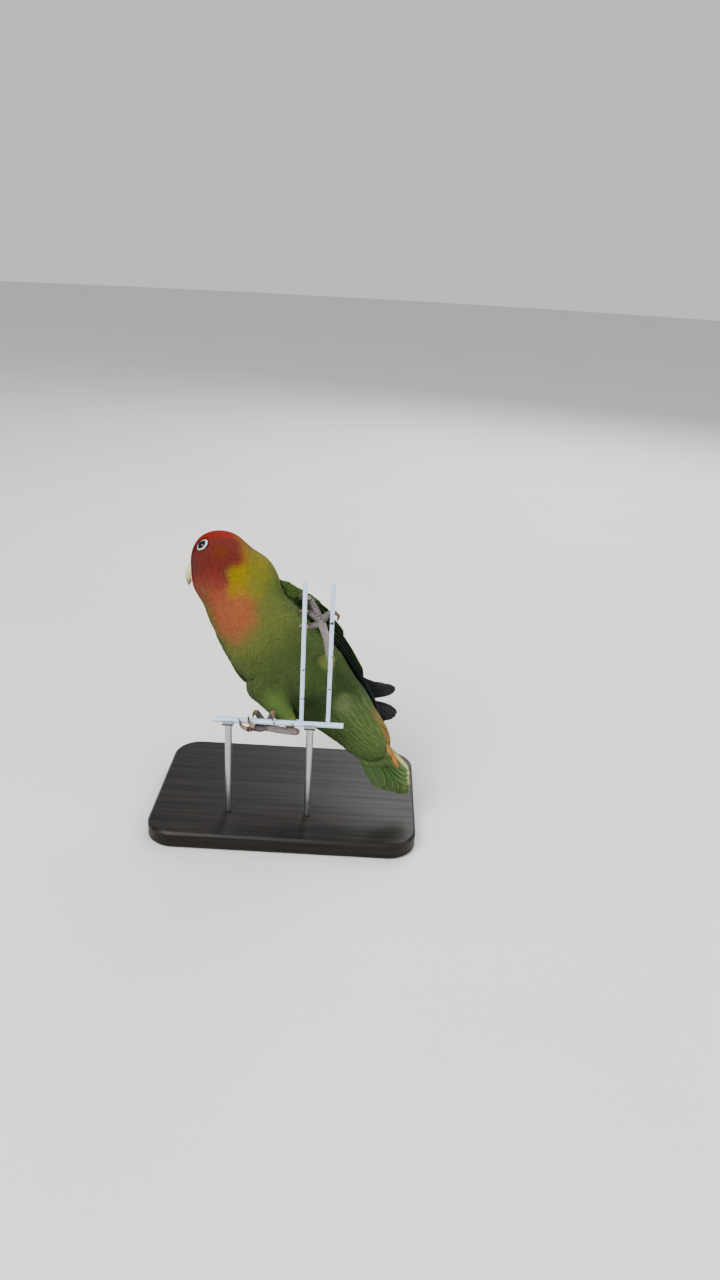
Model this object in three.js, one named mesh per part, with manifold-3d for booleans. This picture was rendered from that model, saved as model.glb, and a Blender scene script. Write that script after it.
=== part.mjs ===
// A peach-faced lovebird, life size, clinging to a short length of welded wire on a display stand.
// Millimetres, +Z up. The origin is the middle of the underside of the stand's base.
// The bird climbs with its belly to the front (-Y), its head up and to -X, and its tail down and to +X.
import * as THREE from "three";
import { mergeVertices } from "three/addons/utils/BufferGeometryUtils.js";
import Module from "manifold-3d";

const wasm = await Module();
wasm.setup();

const V = (x, y, z) => new THREE.Vector3(x, y, z);
const GAP = 0.3;
const SHORTEST_EDGE = 0.05;

// Stand: a flat base and two rods that carry the cross wire
const BASE_LENGTH = 124;
const BASE_DEPTH = 86;
const BASE_HEIGHT = 8;
const BASE_CORNER = 12;
const BASE_BEVEL = 1;
const RAIL_HEIGHT = 56;
const ROD_RADIUS = 1.6;
const ROD_X = [-18, 19];
const SADDLE_LENGTH = 5;
const SADDLE_WALL = 1.2;

// Wire: a cross wire and two uprights welded on top of it
const RAIL_RADIUS = 1.3;
const RAIL_ENDS = [-25, 34];
const WIRE_RADIUS = 1.0;
const WIRE_X = [15, 27];
const WIRE_TOP = 68;

// The cross wire's own frame, in which the bird is measured
const RAIL_ORIGIN = V(-8, -22, RAIL_HEIGHT);

// Spine of the body, from the tail root up to the middle of the head
const SPINE = [
  V(41, 20, -12),
  V(31, 25, -4),
  V(17, 30, 7),
  V(3.5, 33, 20),
  V(-8.5, 36, 34),
  V(-18, 39.5, 48),
  V(-26, 42, 60),
];
const BACKWARD = V(0, 1, -0.1).normalize();

// Masses of the body: place along the spine, shift to the bird's left and back,
// half sizes along, across and deep
const MASSES = [
  { u: 0.0, left: 0.5, back: 0, size: [18, 11.8, 7.5] },
  { u: 0.16, left: 1, back: 0, size: [19, 15.2, 12] },
  { u: 0.36, left: 0.3, back: 0, size: [25, 20.5, 17.5] },
  { u: 0.59, left: -1.5, back: 0, size: [25, 21.2, 18.5] },
  { u: 0.78, left: -2, back: -0.5, size: [19, 18, 16.5] },
  { u: 0.87, left: 5.4, back: 3.2, size: [16, 13.2, 13.9] },
  { u: 0.9, left: -8, back: -2, size: [11, 8.5, 9] },
];
const MASS_BLEND = 5;

// Head frame: the bill points along FORWARD, the crown along UP
const HEAD_AT = V(-27.8, 42, 61.4);
const HEAD_FORWARD = V(-0.94, 0.29, -0.17).normalize();
const HEAD_UP = V(0.07, 0.66, 0.75);
const SKULL = { at: [-1, 0, 0.5], size: [13.2, 12.5, 13.2] };
const BROW = { at: [3, 0, 3], size: [9.2, 11.5, 8.8] };
const FACE = { at: [2.3, 0, -3.5], size: [9.5, 10.8, 9.8] };
const CHIN = { at: [1.5, 0, -11], size: [9, 9, 8.5] };

// Eyes, in the head frame by direction from the head's middle
const EYE_RADIUS = 2.7;
const EYE_DEPTH = 1.9;
const EYE_DIRECTION = [0.3, 0.93, 0.17];
const LID_RADIUS = 2.72;
const LID_THICKNESS = 0.38;
const LID_LIFT = 2.0;

// Cuts through the body, as places along the spine
const CUT_TAIL = 0.03;
const CUT_NECK = 0.76;
const CUT_HEAD = 0.9;

const spine = new THREE.CatmullRomCurve3(SPINE, false, "centripetal");
const SPINE_LENGTH = spine.getLength();

// Point and headward, back and left directions at a place along the spine, straight on past its ends
function station(u) {
  const inside = Math.min(1, Math.max(0, u));
  const along = spine.getTangentAt(inside);
  const at = spine.getPointAt(inside).addScaledVector(along, (u - inside) * SPINE_LENGTH);
  const back = BACKWARD.clone().addScaledVector(along, -BACKWARD.dot(along)).normalize();
  const left = back.clone().cross(along);
  return { at, along, back, left };
}

const headUp = HEAD_UP.clone().addScaledVector(HEAD_FORWARD, -HEAD_UP.dot(HEAD_FORWARD)).normalize();
const headLeft = headUp.clone().cross(HEAD_FORWARD);

// A point given forward, left and up of the head's middle
function inHead(f, l, u) {
  const point = HEAD_AT.clone().addScaledVector(HEAD_FORWARD, f);
  return point.addScaledVector(headLeft, l).addScaledVector(headUp, u);
}

// Each mass as a middle, three axes and three half sizes
const bodyMasses = MASSES.map((mass) => {
  const { at, along, back, left } = station(mass.u);
  at.addScaledVector(left, mass.left).addScaledVector(back, mass.back);
  return { at, axes: [along, left, back], size: mass.size };
});
const headMasses = [SKULL, BROW, FACE, CHIN].map((mass) => ({
  at: inHead(...mass.at),
  axes: [HEAD_FORWARD, headLeft, headUp],
  size: mass.size,
}));

// Distance-like value of a point from an ellipsoid, negative inside
function fromEllipsoid(p, mass) {
  const d = p.clone().sub(mass.at);
  const local = mass.axes.map((axis) => d.dot(axis));
  const near = Math.hypot(...local.map((c, i) => c / mass.size[i]));
  const steep = Math.hypot(...local.map((c, i) => c / mass.size[i] ** 2));
  return steep < 1e-9 ? -mass.size[0] : (near * (near - 1)) / steep;
}

function blendMin(a, b, soft) {
  const h = Math.min(1, Math.max(0, 0.5 + (0.5 * (b - a)) / soft));
  return b * (1 - h) + a * h - soft * h * (1 - h);
}

function bodyField(p) {
  const values = [...bodyMasses, ...headMasses].map((mass) => fromEllipsoid(p, mass));
  return values.reduce((a, b) => blendMin(a, b, MASS_BLEND));
}

// Distance from an inner point to the body's surface along a direction
const REACH_FIRST = 2;
const REACH_LAST = 60;
const REACH_ROUNDS = 12;

function reachOf(origin, direction) {
  const p = V(0, 0, 0);
  const at = (t) => bodyField(p.copy(origin).addScaledVector(direction, t));
  let near = REACH_FIRST;
  let far = near + 1;
  while (at(far) < 0 && far < REACH_LAST) {
    near = far;
    far += 1;
  }
  for (let i = 0; i < REACH_ROUNDS; i++) {
    const middle = (near + far) / 2;
    if (at(middle) < 0) near = middle;
    else far = middle;
  }
  return (near + far) / 2;
}

// Direction out of the spine: 0 degrees at the belly, 90 at the bird's left, 180 at the back
function around(frame, degrees) {
  const a = THREE.MathUtils.degToRad(degrees);
  return frame.back.clone().multiplyScalar(-Math.cos(a)).addScaledVector(frame.left, Math.sin(a));
}

// A closed mesh from rings of points, with a point or a flat fan at each end
function loft(rings, start, end) {
  const points = [start, ...rings.flat(), end];
  const count = rings[0].length;
  const last = points.length - 1;
  const faces = [];
  const id = (r, k) => 1 + r * count + (k % count);
  for (let k = 0; k < count; k++) {
    faces.push(0, id(0, k + 1), id(0, k));
    faces.push(last, id(rings.length - 1, k), id(rings.length - 1, k + 1));
    for (let r = 0; r + 1 < rings.length; r++) {
      faces.push(id(r, k), id(r, k + 1), id(r + 1, k + 1));
      faces.push(id(r, k), id(r + 1, k + 1), id(r + 1, k));
    }
  }
  return geometryOf(points, faces);
}

function geometryOf(points, faces) {
  const geometry = new THREE.BufferGeometry().setFromPoints(points);
  geometry.setIndex(faces);
  return geometry;
}

// Solids: closed geometry in and out of the joining and cutting library
function solid(geometry) {
  const bare = geometry.clone();
  bare.deleteAttribute("normal");
  bare.deleteAttribute("uv");
  const merged = mergeVertices(bare, 1e-4);
  const made = new wasm.Manifold(
    new wasm.Mesh({
      numProp: 3,
      vertProperties: new Float32Array(merged.attributes.position.array),
      triVerts: new Uint32Array(merged.index.array),
    }),
  );
  return made.volume() < 0 ? solid(reversed(merged)) : made;
}

function reversed(geometry) {
  const turned = geometry.clone();
  const index = turned.index.array;
  for (let i = 0; i < index.length; i += 3) {
    [index[i + 1], index[i + 2]] = [index[i + 2], index[i + 1]];
  }
  return turned;
}

function join(...solids) {
  return solids.flat().reduce((a, b) => a.add(b));
}

// The largest closed body of a solid, without its shortest edges
function largest(made) {
  const bodies = made.simplify(SHORTEST_EDGE).decompose();
  return bodies.reduce((a, b) => (b.volume() > a.volume() ? b : a));
}

function backToGeometry(made) {
  const mesh = made.getMesh();
  const geometry = new THREE.BufferGeometry();
  geometry.setAttribute("position", new THREE.BufferAttribute(new Float32Array(mesh.vertProperties), 3));
  geometry.setIndex(new THREE.BufferAttribute(new Uint32Array(mesh.triVerts), 1));
  geometry.computeVertexNormals();
  return geometry;
}

// A tapered round limb through some points; each end has one smaller ring and then a point
const CAP_RING = 0.6;
const CAP_POINT = 0.9;

function limb(points, radii, sides, steps) {
  const curve = new THREE.CatmullRomCurve3(points, false, "centripetal");
  const rings = [];
  let across = Math.abs(curve.getTangent(0).z) < 0.9 ? V(0, 0, 1) : V(1, 0, 0);
  const ring = (t, shrink, push) => {
    const along = curve.getTangent(t);
    across = across.clone().addScaledVector(along, -across.dot(along)).normalize();
    const over = along.clone().cross(across);
    const place = t * (radii.length - 1);
    const i = Math.min(radii.length - 2, Math.floor(place));
    const radius = radii[i] + (radii[i + 1] - radii[i]) * (place - i);
    const middle = curve.getPoint(t).addScaledVector(along, push * radius);
    return Array.from({ length: sides }, (_, k) => {
      const a = (2 * Math.PI * k) / sides;
      return middle
        .clone()
        .addScaledVector(across, Math.cos(a) * radius * shrink)
        .addScaledVector(over, Math.sin(a) * radius * shrink);
    });
  };
  rings.push(ring(0, CAP_RING, -CAP_RING));
  for (let k = 0; k <= steps; k++) rings.push(ring(k / steps, 1, 0));
  rings.push(ring(1, CAP_RING, CAP_RING));
  const first = curve.getPoint(0).addScaledVector(curve.getTangent(0), -CAP_POINT * radii[0]);
  const final = curve.getPoint(1).addScaledVector(curve.getTangent(1), CAP_POINT * radii[radii.length - 1]);
  return solid(loft(rings, first, final));
}

// Body: one star-shaped surface round the spine, parted by flat cuts
const BODY_SIDES = 28;
const BODY_STEP = 4.6;

function bodyRing(frame, grow, tilt = 0) {
  return Array.from({ length: BODY_SIDES }, (_, k) => {
    const out = around(frame, (360 * k) / BODY_SIDES).multiplyScalar(Math.cos(tilt));
    out.addScaledVector(frame.along, Math.sin(tilt));
    return frame.at.clone().addScaledVector(out, reachOf(frame.at, out) + grow);
  });
}

function bodyPiece(from, to, grow = 0) {
  const steps = Math.max(2, Math.round(((to - from) * SPINE_LENGTH) / BODY_STEP));
  const frames = Array.from({ length: steps + 1 }, (_, i) => station(from + ((to - from) * i) / steps));
  return solid(loft(frames.map((f) => bodyRing(f, grow)), frames[0].at, frames[steps].at));
}

const CAP_ROWS = 7;
function headPiece(from, grow = 0) {
  const steps = Math.max(2, Math.round(((1 - from) * SPINE_LENGTH) / BODY_STEP));
  const frames = Array.from({ length: steps }, (_, i) => station(from + ((1 - from) * i) / steps));
  const rings = frames.map((frame) => bodyRing(frame, grow));
  const end = station(1);
  for (let i = 0; i < CAP_ROWS; i++) rings.push(bodyRing(end, grow, (i * Math.PI) / 2 / CAP_ROWS));
  const crown = end.at.clone().addScaledVector(end.along, reachOf(end.at, end.along) + grow);
  return solid(loft(rings, station(from).at, crown));
}

const gapAlong = GAP / SPINE_LENGTH;
const torso = bodyPiece(CUT_TAIL, CUT_NECK);
const torsoGrown = bodyPiece(CUT_TAIL - 2 * gapAlong, CUT_NECK + gapAlong, GAP);
const neck = bodyPiece(CUT_NECK + gapAlong, CUT_HEAD);
const headGrown = headPiece(CUT_HEAD, GAP);
const bodyGrown = join(torsoGrown, bodyPiece(CUT_NECK, CUT_HEAD + gapAlong, GAP), headGrown);

// Eyes and lids
const EYE_SIDES = [14, 8];
const LID_SIDES = [5, 16];

function eyeParts(side) {
  const [f, l, u] = EYE_DIRECTION;
  const out = inHead(f, l * side, u).sub(HEAD_AT).normalize();
  const surface = HEAD_AT.clone().addScaledVector(out, reachOf(HEAD_AT, out));
  const middle = surface.addScaledVector(out, -EYE_DEPTH);
  const ball = new THREE.SphereGeometry(EYE_RADIUS, ...EYE_SIDES).translate(...middle);
  const socket = new THREE.SphereGeometry(EYE_RADIUS + GAP, ...EYE_SIDES).translate(...middle);
  const lid = new THREE.TorusGeometry(LID_RADIUS, LID_THICKNESS, ...LID_SIDES);
  lid.applyQuaternion(new THREE.Quaternion().setFromUnitVectors(V(0, 0, 1), out));
  lid.translate(...middle.clone().addScaledVector(out, LID_LIFT));
  return { ball: solid(ball), socket: solid(socket), lid: solid(lid) };
}

const eyes = { left: eyeParts(1), right: eyeParts(-1) };
let head = join(headPiece(CUT_HEAD + gapAlong), eyes.left.lid, eyes.right.lid);
head = largest(head.subtract(eyes.left.socket).subtract(eyes.right.socket));

// Bill, as sections across its own curve in the head frame:
// forward, up, half width, half height, lean in degrees
const MAXILLA = [
  [6, -2.2, 4.4, 4.9, 0],
  [9, -1.9, 4.4, 4.7, -6],
  [11.6, -2.4, 4.0, 4.2, -20],
  [13.8, -4.2, 3.2, 3.4, -46],
  [14.9, -7.0, 2.2, 2.5, -74],
  [14.9, -9.8, 1.2, 1.4, -92],
  [14.3, -12, 0.4, 0.5, -105],
];
const MANDIBLE = [
  [5.5, -8.2, 3.7, 2.9, 0],
  [8.6, -8.6, 3.8, 2.8, 2],
  [11, -8.9, 3.3, 2.3, 10],
  [12.6, -8.7, 2.3, 1.5, 25],
  [13.4, -8.2, 1.1, 0.6, 40],
];
const NOSTRIL = { at: [11.6, 1.9, 1.2], radius: 0.65, sides: [8, 6] };
const BILL_SIDES = 14;

function billPiece(sections) {
  const rings = sections.map(([f, u, wide, high, lean]) => {
    const a = THREE.MathUtils.degToRad(lean);
    return Array.from({ length: BILL_SIDES }, (_, k) => {
      const b = (2 * Math.PI * k) / BILL_SIDES;
      const up = Math.sin(b) * high;
      return inHead(f - Math.sin(a) * up, Math.cos(b) * wide, u + Math.cos(a) * up);
    });
  });
  const [a, b] = [sections[0], sections[sections.length - 1]];
  return solid(loft(rings, inHead(a[0], 0, a[1]), inHead(b[0], 0, b[1])));
}

function billParts() {
  const pits = [1, -1].map((side) => {
    const [f, l, u] = NOSTRIL.at;
    const pit = new THREE.SphereGeometry(NOSTRIL.radius, ...NOSTRIL.sides);
    return solid(pit.translate(...inHead(f, l * side, u)));
  });
  const upper = billPiece(MAXILLA);
  const upperGrown = billPiece(MAXILLA.map(([f, u, w, h, lean]) => [f, u, w + GAP, h + GAP, lean]));
  const lower = billPiece(MANDIBLE);
  return {
    maxilla: largest(upper.subtract(headGrown).subtract(join(pits))),
    mandible: largest(lower.subtract(upperGrown).subtract(headGrown)),
  };
}
const bill = billParts();

// Legs: feathered thighs, then the bare shank and four toes, two before and two behind
const LEGS = {
  left: {
    thigh: [V(27, 27, 2), V(18, 18, 13), V(26.2, 11, 27.5)],
    thighRadii: [9.5, 10.5, 3.4],
    shank: [V(27.3, 9, 30.5), V(24.5, 6.5, 40), V(22, 4.4, 48)],
    toes: [
      {
        way: [V(22, 4.4, 48), V(19.5, 3.9, 54), V(17.2, 3.4, 58.5)],
        claw: [V(16.6, 2.6, 59.6), V(13.6, 2.2, 60.6), V(12.6, -0.6, 60.2)],
      },
      {
        way: [V(22, 4.4, 48), V(19, 4.2, 51), V(16.8, 3.7, 52.5)],
        claw: [V(15.6, 3.2, 53), V(12.9, 1.6, 53.4), V(12.9, -1.6, 52.2)],
      },
      {
        way: [V(22, 4.4, 48), V(19.5, 4.4, 46.5), V(17, 3.9, 46)],
        claw: [V(16, 3.2, 46), V(13, 1.8, 46.4), V(12.9, -1.0, 46.8)],
      },
      {
        way: [V(22, 4.4, 48), V(24.5, 4.2, 51.5), V(27, 3.4, 53.2)],
        claw: [V(28, 3, 53.4), V(29.6, 1, 52.8), V(29.2, -1.6, 51.4)],
      },
    ],
  },
  right: {
    thigh: [V(14, 27, 2), V(-4.5, 17, 9.5), V(9.5, 9.5, -4.8)],
    thighRadii: [10, 7.5, 3.4],
    shank: [V(12.3, 7, -8), V(5.5, 6.2, -7.2), V(-1.2, 5.0, -5.2)],
    toes: [
      {
        way: [V(-1.2, 5.0, -5.2), V(-3.6, 1.2, -4.4), V(-5.4, -2.2, -2.6)],
        claw: [V(-6.6, -2.8, -1.2), V(-8.2, -3.4, 1.2), V(-8.8, -1.4, 3.0)],
      },
      {
        way: [V(-1.2, 5.0, -5.2), V(-5.4, 3.0, -4.6), V(-9, -0.8, -4.0)],
        claw: [V(-10, -2.4, -2.8), V(-11.8, -3.4, -0.6), V(-12.6, -2.2, 1.8)],
      },
      {
        way: [V(-1.2, 5.0, -5.2), V(0.6, 5.2, -0.6), V(1.6, 3.4, 2.8)],
        claw: [V(2, 1.8, 3.9), V(2.4, -1.2, 4), V(2.4, -3.2, 2.2)],
      },
      {
        way: [V(-1.2, 5.0, -5.2), V(-4.2, 5.4, -0.8), V(-5.6, 3.4, 2.8)],
        claw: [V(-6, 1.8, 3.9), V(-6.4, -1.0, 4.2), V(-6.6, -2.9, 3.4)],
      },
    ],
  },
};
const SHANK_RADII = [1.9, 1.6, 1.9];
const TOE_RADII = [1.55, 1.2, 1.0];
const CLAW_RADII = [0.95, 0.7, 0.2];
const THIGH_SIDES = 16;
const FOOT_SIDES = 8;
const CLAW_SIDES = 6;
const LIMB_STEPS = 4;

function legParts(leg, body) {
  const [hip, knee, ankle] = leg.thigh;
  const [wide, middle, narrow] = leg.thighRadii;
  const upper = limb([hip, knee], [wide, middle], THIGH_SIDES, LIMB_STEPS);
  const thigh = join(upper, limb([knee, ankle], [middle, narrow], THIGH_SIDES, LIMB_STEPS));
  const shank = limb(leg.shank, SHANK_RADII, FOOT_SIDES, LIMB_STEPS);
  const toes = leg.toes.map((toe) => limb(toe.way, TOE_RADII, FOOT_SIDES, LIMB_STEPS));
  const claws = leg.toes.map((toe) => limb(toe.claw, CLAW_RADII, CLAW_SIDES, LIMB_STEPS));
  const grown = (radii) => radii.map((radius) => radius + GAP);
  const grownToes = leg.toes.map((toe) => limb(toe.way, grown(TOE_RADII), FOOT_SIDES, LIMB_STEPS));
  const shankGrown = limb(leg.shank, grown(SHANK_RADII), FOOT_SIDES, LIMB_STEPS);
  return {
    thigh: largest(thigh.subtract(body).subtract(shankGrown)),
    foot: largest(join(shank, toes)),
    claws: claws.map((claw, i) => largest(claw.subtract(grownToes[i]))),
  };
}
const legs = { left: legParts(LEGS.left, torsoGrown), right: legParts(LEGS.right, torsoGrown) };

// Wings: each lies on a curved sheet through four lines from the bend of the wing to its tip
// Points as place along the spine, degrees round it and distance out of it
const WINGS = {
  left: [
    [[0.8, 97, 18.6], [0.6, 99, 20], [0.38, 99, 21.5], [0.13, 117, 18.8], [-0.12, 158, 10.5]],
    [[0.785, 106, 21.5], [0.6, 102, 28.6], [0.38, 104, 28.2], [0.14, 116, 20.8], [-0.12, 162, 11]],
    [[0.8, 131, 20], [0.6, 128, 26.5], [0.36, 130, 26.5], [0.13, 145, 19.5], [-0.1, 175, 11.5]],
    [[0.8, 165, 17.8], [0.6, 164, 20], [0.38, 165, 19.5], [0.15, 178, 15.4], [-0.06, 192, 12.2]],
  ],
  right: [
    [[0.8, -96, 20.5], [0.6, -95, 23.2], [0.38, -104, 23.2], [0.13, -160, 18.5], [-0.09, -212, 19.5]],
    [[0.785, -106, 22.5], [0.6, -100, 25.2], [0.38, -112, 24.6], [0.15, -165, 20.8], [-0.09, -222, 22.4]],
    [[0.8, -130, 21.5], [0.6, -128, 24.3], [0.36, -138, 23.5], [0.18, -180, 22.4], [-0.015, -230, 27.5]],
    [[0.8, -163, 18], [0.6, -164, 20], [0.38, -170, 20.8], [0.22, -200, 23], [0.05, -232, 31]],
  ],
};

// Flesh of a wing: how far it runs along the sheet, its depth in front and past the bend,
// how far its upper face is sunk at both ends, its least thickness,
// and how it deepens from the leading edge
const CORE_END = 0.6;
const CORE_BEND = [0.38, 0.62];
const CORE_DEPTH = 9.5;
const CORE_THIN = 3.6;
const CORE_SUNK = [0.8, 2.4];
const CORE_LEAST = 0.8;
const CORE_EDGE = 0.25;
const CORE_SLOPE = 2.2;
const CORE_TIP = 0.02;
const CORE_TIP_SUNK = 3;
const CORE_ROWS = 7;
const CORE_COLUMNS = 7;

// Steps in place for slopes of the sheets' lines and of the sheets
const LINE_STEP = 0.005;
const SHEET_STEP = 0.01;

const smooth = THREE.MathUtils.smoothstep;
const mix = THREE.MathUtils.lerp;

// A point of a curve, straight on past its ends
function runOn(curve, t) {
  const inside = Math.min(1, Math.max(0, t));
  const before = curve.getPoint(Math.max(0, inside - LINE_STEP));
  const slope = curve.getPoint(Math.min(1, inside + LINE_STEP)).sub(before);
  return curve.getPoint(inside).addScaledVector(slope, (t - inside) / LINE_STEP);
}

// A sheet through lines of body coordinates: s runs along the lines, q across them
function sheet(lines) {
  const curves = lines.map((line) => {
    const points = line.map((p) => V(...p));
    return new THREE.CatmullRomCurve3(points, false, "catmullrom");
  });
  const coordinates = (s, q) => {
    const ends = curves.map((curve) => runOn(curve, s));
    return runOn(new THREE.CatmullRomCurve3(ends, false, "catmullrom"), q);
  };
  const point = (s, q, sink = 0) => {
    const [u, degrees, out] = coordinates(s, q).toArray();
    const frame = station(u);
    return frame.at.clone().addScaledVector(around(frame, degrees), out - sink);
  };
  const slopes = (s, q) => {
    const e = SHEET_STEP;
    const along = point(s + e, q).sub(point(s - e, q)).divideScalar(2 * e);
    const across = point(s, q + e).sub(point(s, q - e)).divideScalar(2 * e);
    const normal = across.clone().cross(along).normalize();
    if (normal.dot(point(s, q).sub(point(s, q, 1))) < 0) normal.negate();
    return { along, across, normal };
  };
  return { point, slopes };
}

// The flesh of a wing: a closed body under the front of a sheet, thick at the shoulder
function wingCore(surface) {
  const rings = [];
  for (let r = 0; r <= CORE_ROWS; r++) {
    const s = (CORE_END * r) / CORE_ROWS;
    const deep = mix(CORE_DEPTH, CORE_THIN, smooth(s, ...CORE_BEND));
    const top = mix(...CORE_SUNK, s / CORE_END);
    const ring = [];
    for (let c = 0; c <= CORE_COLUMNS; c++) ring.push(surface.point(s, c / CORE_COLUMNS, top));
    for (let c = CORE_COLUMNS; c >= 0; c--) {
      const q = c / CORE_COLUMNS;
      const bottom = deep * Math.min(1, CORE_EDGE + CORE_SLOPE * q);
      ring.push(surface.point(s, q, Math.max(top + CORE_LEAST, bottom)));
    }
    rings.push(ring);
  }
  const start = surface.point(-CORE_TIP, 0.5, CORE_DEPTH / 2);
  return solid(loft(rings, start, surface.point(CORE_END + CORE_TIP, 0.5, CORE_TIP_SUNK)));
}

// A closed plate from two grids of points alike, one over the other
function plate(top, bottom) {
  const rows = top.length;
  const columns = top[0].length;
  const points = [...top.flat(), ...bottom.flat()];
  const faces = [];
  const up = (r, c) => r * columns + c;
  const down = (r, c) => rows * columns + up(r, c);
  const wall = (a, b, c, d) => faces.push(a, b, c, a, c, d);
  for (let r = 0; r + 1 < rows; r++) {
    for (let c = 0; c + 1 < columns; c++) {
      wall(up(r, c), up(r, c + 1), up(r + 1, c + 1), up(r + 1, c));
      faces.push(down(r, c), down(r + 1, c + 1), down(r, c + 1));
      faces.push(down(r, c), down(r + 1, c), down(r + 1, c + 1));
    }
    wall(up(r, 0), up(r + 1, 0), down(r + 1, 0), down(r, 0));
    wall(up(r + 1, columns - 1), up(r, columns - 1), down(r, columns - 1), down(r + 1, columns - 1));
  }
  for (let c = 0; c + 1 < columns; c++) {
    wall(up(0, c + 1), up(0, c), down(0, c), down(0, c + 1));
    wall(up(rows - 1, c), up(rows - 1, c + 1), down(rows - 1, c + 1), down(rows - 1, c));
  }
  return solid(geometryOf(points, faces));
}

// A feather on a sheet, from root to tip, at a lift over it that changes from root to tip
// Each row is a place along the feather and the share of its width there
const VANE_ROWS = {
  long: [[0, 0.6], [0.35, 0.95], [0.7, 1], [0.9, 0.8], [1, 0.3]],
  short: [[0, 0.7], [0.45, 1], [0.8, 0.9], [1, 0.4]],
};
const VANE_THICKNESS = 0.55;

// Roll raises a feather's edge towards q = 0 and lowers the other, so that neighbours lie over one another
function vane(surface, { root, tip, width, lift, roll, rows }) {
  const grids = { top: [], bottom: [] };
  for (const [t, share] of VANE_ROWS[rows]) {
    const s = mix(root[0], tip[0], t);
    const q = mix(root[1], tip[1], t);
    const { along, across, normal } = surface.slopes(s, q);
    const way = along.clone().multiplyScalar(tip[0] - root[0]).addScaledVector(across, tip[1] - root[1]);
    const side = normal.clone().cross(way).normalize().multiplyScalar((width / 2) * share);
    if (side.dot(across) < 0) side.negate();
    const [aa, ab, bb] = [along.dot(along), along.dot(across), across.dot(across)];
    const [sa, sb] = [side.dot(along), side.dot(across)];
    const ds = (sa * bb - sb * ab) / (aa * bb - ab * ab);
    const dq = (sb * aa - sa * ab) / (aa * bb - ab * ab);
    const half = VANE_THICKNESS / 2;
    const height = mix(lift[0], lift[1], t);
    const edges = [-1, 1].map((k) => {
      const middle = surface.point(s + ds * k, q + dq * k);
      const out = surface.slopes(s + ds * k, q + dq * k).normal;
      middle.addScaledVector(out, height - roll * share * k);
      return [half, -half].map((h) => middle.clone().addScaledVector(out, h));
    });
    grids.top.push(edges.map((edge) => edge[0]));
    grids.bottom.push(edges.map((edge) => edge[1]));
  }
  return plate(grids.top, grids.bottom);
}

// A tier of feathers: values at its first and last feather, with those between worked out
function tier(surface, { count, root, tip, width, lift, roll, rows = "short" }) {
  return Array.from({ length: count }, (_, i) => {
    const t = count > 1 ? i / (count - 1) : 0.5;
    const between = ([a, b]) => a.map((v, k) => mix(v, b[k], t));
    const ends = { root: between(root), tip: between(tip), lift: between(lift) };
    return vane(surface, { ...ends, width: mix(...width, t), roll, rows });
  });
}

// Tiers of a wing from the lowest to the highest
// The first feather of each is at the leading edge, the last at the back
const WING_TIERS = [
  {
    count: 3,
    root: [[0.42, 0.2], [0.46, 0.44]],
    tip: [[0.95, 0.1], [1.0, 0.46]],
    width: [7, 8],
    lift: [[-4.4, -1.8], [-4.2, -1.4]],
    roll: 0.4,
    rows: "long",
  },
  {
    count: 3,
    root: [[0.46, 0.5], [0.46, 0.8]],
    tip: [[1.0, 0.84], [0.82, 0.98]],
    width: [8, 7.5],
    lift: [[-4.0, -1], [-3.8, -1.6]],
    roll: 0.4,
    rows: "long",
  },
  {
    count: 6,
    root: [[0.38, 0.2], [0.34, 0.9]],
    tip: [[0.72, 0.2], [0.66, 0.93]],
    width: [7, 7],
    lift: [[-3.2, -0.6], [-3.0, -0.3]],
    roll: 0.4,
    rows: "long",
  },
  {
    count: 6,
    root: [[0.26, 0.14], [0.24, 0.9]],
    tip: [[0.5, 0.14], [0.48, 0.92]],
    width: [6.6, 6.6],
    lift: [[-2.9, -0.5], [-2.7, -0.2]],
    roll: 0.4,
  },
  {
    count: 6,
    root: [[0.15, 0.1], [0.14, 0.88]],
    tip: [[0.36, 0.1], [0.35, 0.9]],
    width: [6.6, 6.6],
    lift: [[-2.5, -0.4], [-2.3, -0.1]],
    roll: 0.4,
  },
  {
    count: 5,
    root: [[0.06, 0.12], [0.05, 0.84]],
    tip: [[0.24, 0.12], [0.23, 0.86]],
    width: [7.2, 7.2],
    lift: [[-2.1, -0.3], [-2, 0]],
    roll: 0.4,
  },
  {
    count: 4,
    root: [[-0.02, 0.18], [-0.02, 0.76]],
    tip: [[0.13, 0.16], [0.13, 0.8]],
    width: [7.5, 7.5],
    lift: [[-1.7, 0.1], [-1.6, 0.4]],
    roll: 0.35,
  },
];

function wingPiece(lines) {
  const surface = sheet(lines);
  const feathers = WING_TIERS.flatMap((row) => tier(surface, row));
  return largest(join(wingCore(surface), feathers).subtract(bodyGrown));
}
const wings = { left: wingPiece(WINGS.left), right: wingPiece(WINGS.right) };

// Tail: a root that goes on from the body, twelve tail feathers, and the coverts over and under them
const TAIL_ROOT = V(42, 20, -13);
const TAIL_TIP = V(66, 8.3, -38.6);
const TAIL_HALF_WIDTH = 9.5;
const TAIL_BOW = 0.018;

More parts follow.
